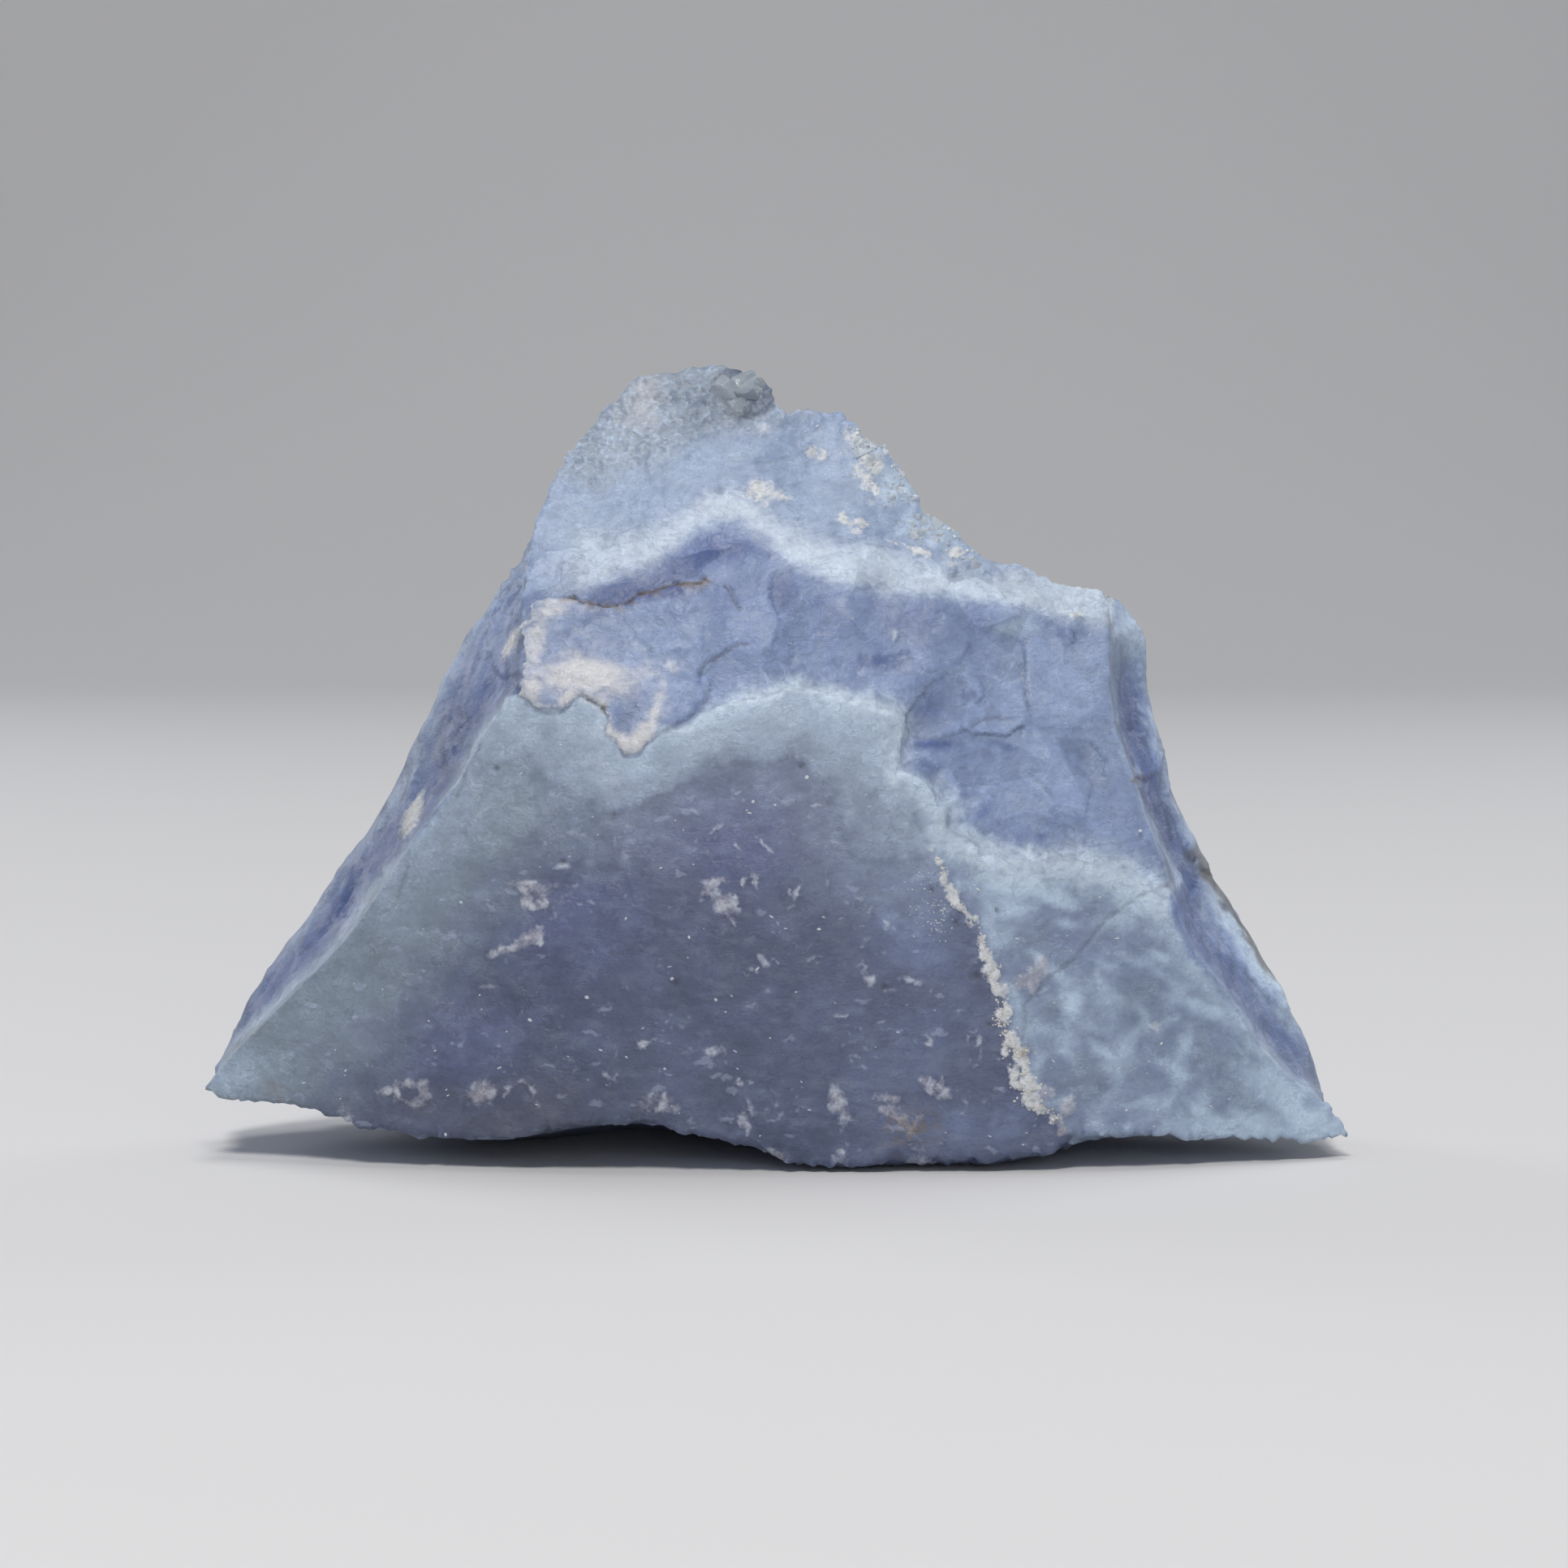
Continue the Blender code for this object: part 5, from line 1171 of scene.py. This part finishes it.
def newMaterial(name, ior, subsurface, radius, scale, clear=0.0):
    material = bpy.data.materials.new(name)
    material.use_nodes = True
    tree = material.node_tree
    shader = tree.nodes["Principled BSDF"]
    for label, value in (("IOR", ior), ("Transmission Weight", clear), ("Subsurface Weight", subsurface),
                         ("Subsurface Radius", radius), ("Subsurface Scale", scale)):
        shader.inputs[label].default_value = value
    place = newNode(tree, "ShaderNodeTexCoord").outputs["Object"]
    grain = newNode(tree, "ShaderNodeGroup", {"Vector": place}, node_tree=grainTree)
    return material, tree, shader, grain.outputs


def chalcedonyMaterial():
    material, tree, shader, grain = newMaterial(
        "blue chalcedony", ior=1.54, subsurface=0.3, radius=(0.8, 0.95, 1.2), scale=0.0014)

    def mark(name):
        return newNode(tree, "ShaderNodeAttribute", attribute_name=name).outputs["Fac"]

    colour = linear(paint["lavender"])
    for name, source, amount, crispness in toneOrder:
        worn = newNode(tree, "ShaderNodeGroup", {
            "Mask": mark(name), "Noise": grain[source], "Amount": amount, "Crispness": crispness},
            node_tree=frayTree)
        colour = mixedColour(tree, colour, worn.outputs["Mask"], linear(paint[name]))
    flecks = mathNode(tree, "MULTIPLY", grain["Flecks"], mark("speckled"))
    flecks = mathNode(tree, "MULTIPLY", flecks, fleckShare)
    colour = mixedColour(tree, colour, flecks, linear(paint["fleck"]))
    faceted = mark("faceted")
    # painted light and shade: the shade mark, and each flat chip a little lighter or darker as a facet turned
    # another way; then the stone's streaks, grain and crinkles
    tone = mathNode(tree, "MULTIPLY_ADD", mathNode(tree, "SUBTRACT", grain["Chip shading"], 0.5), faceted, 0.5)
    for value, low, high in ((mark("shade"), 0.72, 1.28), (tone, 0.84, 1.16), (grain["Streaks"], 0.82, 1.18),
                             (grain["Grain"], 0.86, 1.14), (grain["Crinkles"], 0.98, 1.22)):
        colour = multipliedColour(tree, colour, value, low, high)
    tree.links.new(colour, shader.inputs["Base Color"])
    surfaceFinish(tree, shader, grain, faceted, bumpDistance=0.00011, roughLow=0.34, roughHigh=0.60)
    return material


# Small pieces: a colour and the one it is mixed with, the least and most roughness, and how clear it is
grainLooks = {
    "drusy quartz": ((184, 198, 212), (216, 223, 229), 0.18, 0.40, 0.15),
    "pale chip": ((174, 182, 198), (206, 210, 216), 0.35, 0.6, 0.0),
    "vein crumb": ((194, 192, 189), (214, 213, 211), 0.4, 0.7, 0.0),
    "clear quartz": ((150, 166, 184), (216, 224, 232), 0.05, 0.18, 0.4),
}


def grainMaterial(name):
    # pale and slightly see-through, with the stone's own grain
    colour, variety, roughLow, roughHigh, clear = grainLooks[name]
    material, tree, shader, grain = newMaterial(
        name, ior=1.544, subsurface=0.2 * (1 - clear), radius=(0.8, 0.9, 1.0), scale=0.0008, clear=clear)
    mixed = mixedColour(tree, linear(colour), grain["Mottle"], linear(variety))
    tree.links.new(multipliedColour(tree, mixed, grain["Streaks"], 0.85, 1.12), shader.inputs["Base Color"])
    surfaceFinish(tree, shader, grain, 0.5, 0.00004, roughLow, roughHigh)
    return material


# Grains that stand on the surface: crystals and chips set on points, and made into plain meshes
grains = {
    "crystals": 230, "crystalSize": (0.9, 2.1), "crystalSeed": 11, "crystalSink": 0.70, "crystalLean": 0.42,
    "crystalFloor": 40, "crystalRight": 1240,
    "chips": 130, "chipSize": (0.11, 0.24), "chipSeed": 12, "chipLean": 0.25, "chipCorner": (1660, 1420),
    "chipMargin": 16, "frost": 70, "frostArea": (1148, 1124, 14, 22), "frostSize": (0.10, 0.20),
    "crumbs": 280, "crumbSize": (0.12, 0.36), "crumbSeed": 14, "crumbLean": 0.9,
}


def pointsThrough(surface, spots):
    # where sight lines through places in the picture meet the stone: which place, the point in mm, the normal
    found = []
    for number, (x, y) in enumerate(spots):
        way = viewAhead + Vector((1, 0, 0)) * (x - viewMiddle) / viewScale
        way += viewUp * (viewMiddle - y) / viewScale
        place, normal, _, _ = surface.ray_cast(Vector(view["place"]), way.normalized())
        if place is not None:
            found.append((number, place, normal))
    return found


def prism(rings, tip):
    # rings of corners stacked and closed by a flat foot and a pointed top
    sides, faces = len(rings[0]), []
    for side in range(sides):
        after = (side + 1) % sides
        faces += [(side, after, after + sides, side + sides), (side + sides, after + sides, 2 * sides)]
    return rings[0] + rings[1] + [tip], faces + [tuple(range(sides - 1, -1, -1))]


def crystalShape():
    # a stubby six-sided crystal with its foot below the origin, one unit long
    angles = [math.tau * side / 6 for side in range(6)]
    return prism([[(radius * math.cos(angle), radius * math.sin(angle) * 0.85, z) for angle in angles]
                  for z, radius in ((-0.5, 0.34), (0.45, 0.30))], (0.04, -0.03, 0.82))


def chipShape():
    # a flat angular chip, one unit across
    rim = [(0.52, 0.05), (0.28, 0.34), (-0.16, 0.38), (-0.5, 0.12), (-0.38, -0.26), (0.06, -0.36),
           (0.38, -0.22)]
    return prism([[(x * size, y * size, z) for x, y in rim] for z, size in ((-0.25, 1), (0.16, 0.8))],
                 (0.05, 0.02, 0.26))


def grainsTree():
    # Geometry Nodes: a template set on each point, turned out along the surface, spun, scaled and made real
    tree, start, end = newGroup("grains on points", "GeometryNodeTree", [
        ("Points", "Geometry"), ("Template", "Object"), ("Material", "Material"), ("Seed", "Int"),
        ("Lean", "Float")], [("Grains", "Geometry")])
    outward, size = (newNode(
        tree, "GeometryNodeInputNamedAttribute", {"Name": name}, data_type="FLOAT_VECTOR")
        .outputs["Attribute"] for name in ("outward", "size"))
    facing = newNode(tree, "FunctionNodeAlignRotationToVector", {"Vector": outward}, axis="Z")
    back, ahead = (vectorNode(tree, "SCALE", {0: reach, "Scale": start["Lean"]})
                   for reach in ((-1, -1, -3.14), (1, 1, 3.14)))
    leaning = newNode(tree, "FunctionNodeRandomValue", {"Min": back, "Max": ahead, "Seed": start["Seed"]},
                      data_type="FLOAT_VECTOR")
    spin = newNode(tree, "FunctionNodeEulerToRotation", {0: leaning.outputs["Value"]})
    turned = newNode(tree, "FunctionNodeRotateRotation", {0: facing.outputs[0], 1: spin.outputs[0]},
                     rotation_space="LOCAL")
    template = newNode(tree, "GeometryNodeObjectInfo", {"Object": start["Template"]})
    standing = newNode(tree, "GeometryNodeInstanceOnPoints", {
        "Points": start["Points"], "Instance": template.outputs["Geometry"], "Rotation": turned.outputs[0],
        "Scale": size})
    real = newNode(tree, "GeometryNodeRealizeInstances", {0: standing.outputs[0]})
    dressed = newNode(tree, "GeometryNodeSetMaterial", {
        "Geometry": real.outputs[0], "Material": start["Material"]})
    tree.links.new(dressed.outputs[0], end[0])
    return tree


def grainPiece(name, shape, places, outward, sizes, material, seed, lean):
    template = bpy.data.objects.new("template", bpy.data.meshes.new("template"))
    template.data.from_pydata(shape[0], [], shape[1])
    mesh = bpy.data.meshes.new(name + "_points")
    mesh.from_pydata([Vector(p) * mm for p in places], [], [])
    for label, values in (("outward", outward), ("size", np.array(sizes) * mm)):
        layer = mesh.attributes.new(label, "FLOAT_VECTOR", "POINT")
        layer.data.foreach_set("vector", np.array(values, np.float32).ravel())
    points = linkedObject(name + "_points", mesh)
    modifier = points.modifiers.new("grains", "NODES")
    modifier.node_group = grainsNodes
    values = {"Template": template, "Material": material, "Seed": seed, "Lean": lean}
    for item in grainsNodes.interface.items_tree:
        if item.in_out == "INPUT" and item.name in values:
            modifier[item.identifier] = values[item.name]
    made = bpy.data.meshes.new_from_object(points.evaluated_get(bpy.context.evaluated_depsgraph_get()))
    bpy.data.objects.remove(points)
    bpy.data.objects.remove(template)
    for label in ("outward", "size"):
        if label in made.attributes:
            made.attributes.remove(made.attributes[label])
    return linkedObject(name, made)


def druseCrystals(points, faces, material):
    normals = vertexNormals(points, faces)
    spot = picturePlace(points)
    chance = druseMask(spot) ** 2 * ramp(facingView(points, normals), -0.05, 0.15)
    chance *= (points[:, 2] > grains["crystalFloor"]) * (spot[:, 0] < grains["crystalRight"])
    random = np.random.default_rng(grains["crystalSeed"])
    chosen = random.choice(len(points), grains["crystals"], replace=False, p=chance / chance.sum())
    size = random.uniform(*grains["crystalSize"], len(chosen)) * (0.7 + 0.5 * chance[chosen])
    sizes = np.column_stack([size * 1.35, size * 1.35, size * random.uniform(0.8, 1.3, len(chosen))])
    roots = points[chosen] - normals[chosen] * (grains["crystalSink"] * sizes[:, 2:])
    return grainPiece("druse_crystals", crystalShape(), roots, normals[chosen], sizes, material,
                      grains["crystalSeed"], grains["crystalLean"])


def paleChips(surface, material):
    # the small white marks of the photo one by one, and fainter ones scattered over the lower face
    random = np.random.default_rng(grains["chipSeed"])
    spots, sizes = [], []
    for x, y, long, wide, turn, strength in whiteMarks:
        if max(long, wide) <= markSmallest:
            spots.append((x, y))
            sizes.append(np.array((long, wide, 0.5 * (long + wide))) * 1.5 * strength / pixelsPerMm)
    x, y, wide, high = grains["frostArea"]
    for _ in range(grains["frost"]):
        spots.append((random.normal(x, wide), random.normal(y, high)))
        sizes.append(np.array((1.3, 1, 0.7)) * random.uniform(*grains["frostSize"]))
    low, high = np.array(lowerFace).min(axis=0), np.array(grains["chipCorner"])
    while len(sizes) < grains["chips"] + grains["frost"]:
        spot = random.uniform(low, high)
        if shapeGap(spot[None], lowerFace)[0] > grains["chipMargin"]:
            size = random.uniform(*grains["chipSize"])
            spots.append(tuple(spot))
            sizes.append(np.array((random.uniform(1.2, 2.6), 1, 0.6)) * size)
    kept, places, outward = zip(*pointsThrough(surface, spots))
    return grainPiece("pale_chips", chipShape(), places, outward, [sizes[k] for k in kept], material,
                      grains["chipSeed"], grains["chipLean"])


def veinCrumbs(surface, material):
    # the crumbly matter of the vein, thicker towards its foot
    random = np.random.default_rng(grains["crumbSeed"])
    line, widths = np.array(vein["line"], float), np.array(vein["widths"])
    share = random.uniform(0, 1, grains["crumbs"]) ** 0.6 * (len(line) - 1)
    row = share.astype(int)
    part = (share - row)[:, None]
    middle = line[row] * (1 - part) + line[np.minimum(row + 1, len(line) - 1)] * part
    spread = random.normal(0, 0.55, (len(share), 2)) * widths[row][:, None]
    _, places, outward = zip(*pointsThrough(surface, middle + spread))
    sizes = [random.uniform(0.7, 1.2, 3) * random.uniform(*grains["crumbSize"]) for _ in places]
    return grainPiece("vein_crumbs", chipShape(), places, outward, sizes, material, grains["crumbSeed"],
                      grains["crumbLean"])


# Clear quartz that fills the notch at the peak: lumps, each a place in the picture, a radius in mm and how
# far it stands out
quartz = [
    ((902, 478), 2.3, 0.0), ((925, 484), 2.2, 0.0), ((914, 498), 1.9, -0.1), ((918, 467), 2.0, -0.1),
]
quartzSeed, quartzSides, quartzCut, quartzSink = 13, 14, (0.48, 0.76), 0.40


def quartzKnob(surface, material):
    random = np.random.default_rng(quartzSeed)
    shape = bmesh.new()
    for number, place, normal in pointsThrough(surface, [spot for spot, _, _ in quartz]):
        _, radius, lift = quartz[number]
        lump = bmesh.ops.create_icosphere(shape, subdivisions=3, radius=radius)["verts"]
        for _ in range(quartzSides):     # flat broken faces cut off the lump
            way = Vector(random.normal(size=3)).normalized()
            reach = radius * random.uniform(*quartzCut)
            for vert in lump:
                beyond = vert.co.dot(way) - reach
                if beyond > 0:
                    vert.co -= way * beyond
        bmesh.ops.translate(shape, verts=lump, vec=place + normal * (lift - quartzSink * radius))
    bmesh.ops.scale(shape, verts=shape.verts[:], vec=(mm, mm, mm))
    mesh = bpy.data.meshes.new("quartz_knob")
    shape.to_mesh(mesh)
    shape.free()
    mesh.materials.append(material)
    return linkedObject("quartz_knob", mesh)


# Floor, lights and camera
stage = {
    "reach": 1.6, "wallStart": 0.75, "curve": 0.45, "steps": 16, "wallHeight": 1.5,
    "floor": (214, 214, 216), "world": (222, 227, 236), "worldLight": 0.22,
}
lights = [
    # name, place, size, watts, colour
    ("key", (-0.16, -0.72, 1.00), 0.30, 8.8, (255, 252, 247)),
    ("front", (0.20, -1.15, 0.22), 0.60, 2.6, (250, 252, 255)),
    ("top", (0.05, 0.15, 1.0), 0.45, 2.6, (255, 255, 255)),
    ("back left", (-0.60, 0.50, 0.35), 0.35, 1.2, (250, 252, 255)),
    ("back right", (0.60, 0.50, 0.35), 0.35, 1.0, (250, 252, 255)),
]
aim = Vector((0.0, 0.0, 0.03))


def buildStage():
    # a floor that curves up into a backdrop
    reach, wall, curve, steps = (stage[name] for name in ("reach", "wallStart", "curve", "steps"))
    profile = [(-reach, 0.0), (wall, 0.0)]
    for step in range(1, steps + 1):
        angle = math.pi / 2 * step / steps
        profile.append((wall + curve * math.sin(angle), curve * (1 - math.cos(angle))))
    profile.append((wall + curve, stage["wallHeight"]))
    points = [(x, y, z) for y, z in profile for x in (-reach, reach)]
    mesh = bpy.data.meshes.new("backdrop")
    mesh.from_pydata(points, [], [(2 * k, 2 * k + 1, 2 * k + 3, 2 * k + 2) for k in range(len(profile) - 1)])
    mesh.polygons.foreach_set("use_smooth", [True] * len(mesh.polygons))
    floor = linkedObject("backdrop", mesh)
    material = bpy.data.materials.new("pale floor")
    material.use_nodes = True
    shader = material.node_tree.nodes["Principled BSDF"]
    shader.inputs["Base Color"].default_value = linear(stage["floor"])
    shader.inputs["Roughness"].default_value = 0.85
    mesh.materials.append(material)

    world = bpy.data.worlds.new("soft room")
    bpy.context.scene.world = world
    world.use_nodes = True
    background = world.node_tree.nodes["Background"]
    background.inputs["Color"].default_value = linear(stage["world"])
    background.inputs["Strength"].default_value = stage["worldLight"]
    for name, place, size, watts, colour in lights:
        lamp = bpy.data.lights.new(name, "AREA")
        lamp.size = size
        lamp.energy = watts
        lamp.color = linear(colour)[:3]
        obj = linkedObject(name, lamp)
        obj.location = place
        obj.rotation_euler = (aim - Vector(place)).to_track_quat("-Z", "Y").to_euler()


def buildCamera():
    data = bpy.data.cameras.new("camera")
    data.lens = view["lens"]
    data.sensor_width = view["sensor"]
    data.clip_start = 0.01
    obj = linkedObject("camera", data)
    obj.location = Vector(view["place"]) * mm
    obj.rotation_euler = (math.radians(90) - viewTurn, 0, 0)
    bpy.context.scene.camera = obj


buildStage()
buildCamera()
bpy.context.scene.view_settings.view_transform = "Standard"
stone, points, faces = chalcedonyStone(chalcedonyMaterial())
surface = BVHTree.FromPolygons([Vector(p) for p in points], faces.tolist())
grainsNodes = grainsTree()
druse = druseCrystals(points, faces, grainMaterial("drusy quartz"))
chips = paleChips(surface, grainMaterial("pale chip"))
crumbs = veinCrumbs(surface, grainMaterial("vein crumb"))
knob = quartzKnob(surface, grainMaterial("clear quartz"))
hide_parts("chalcedony_stone")
for piece in (stone, druse, chips, crumbs, knob):
    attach(piece, "root")
    print(piece.name, len(piece.data.polygons), "faces")
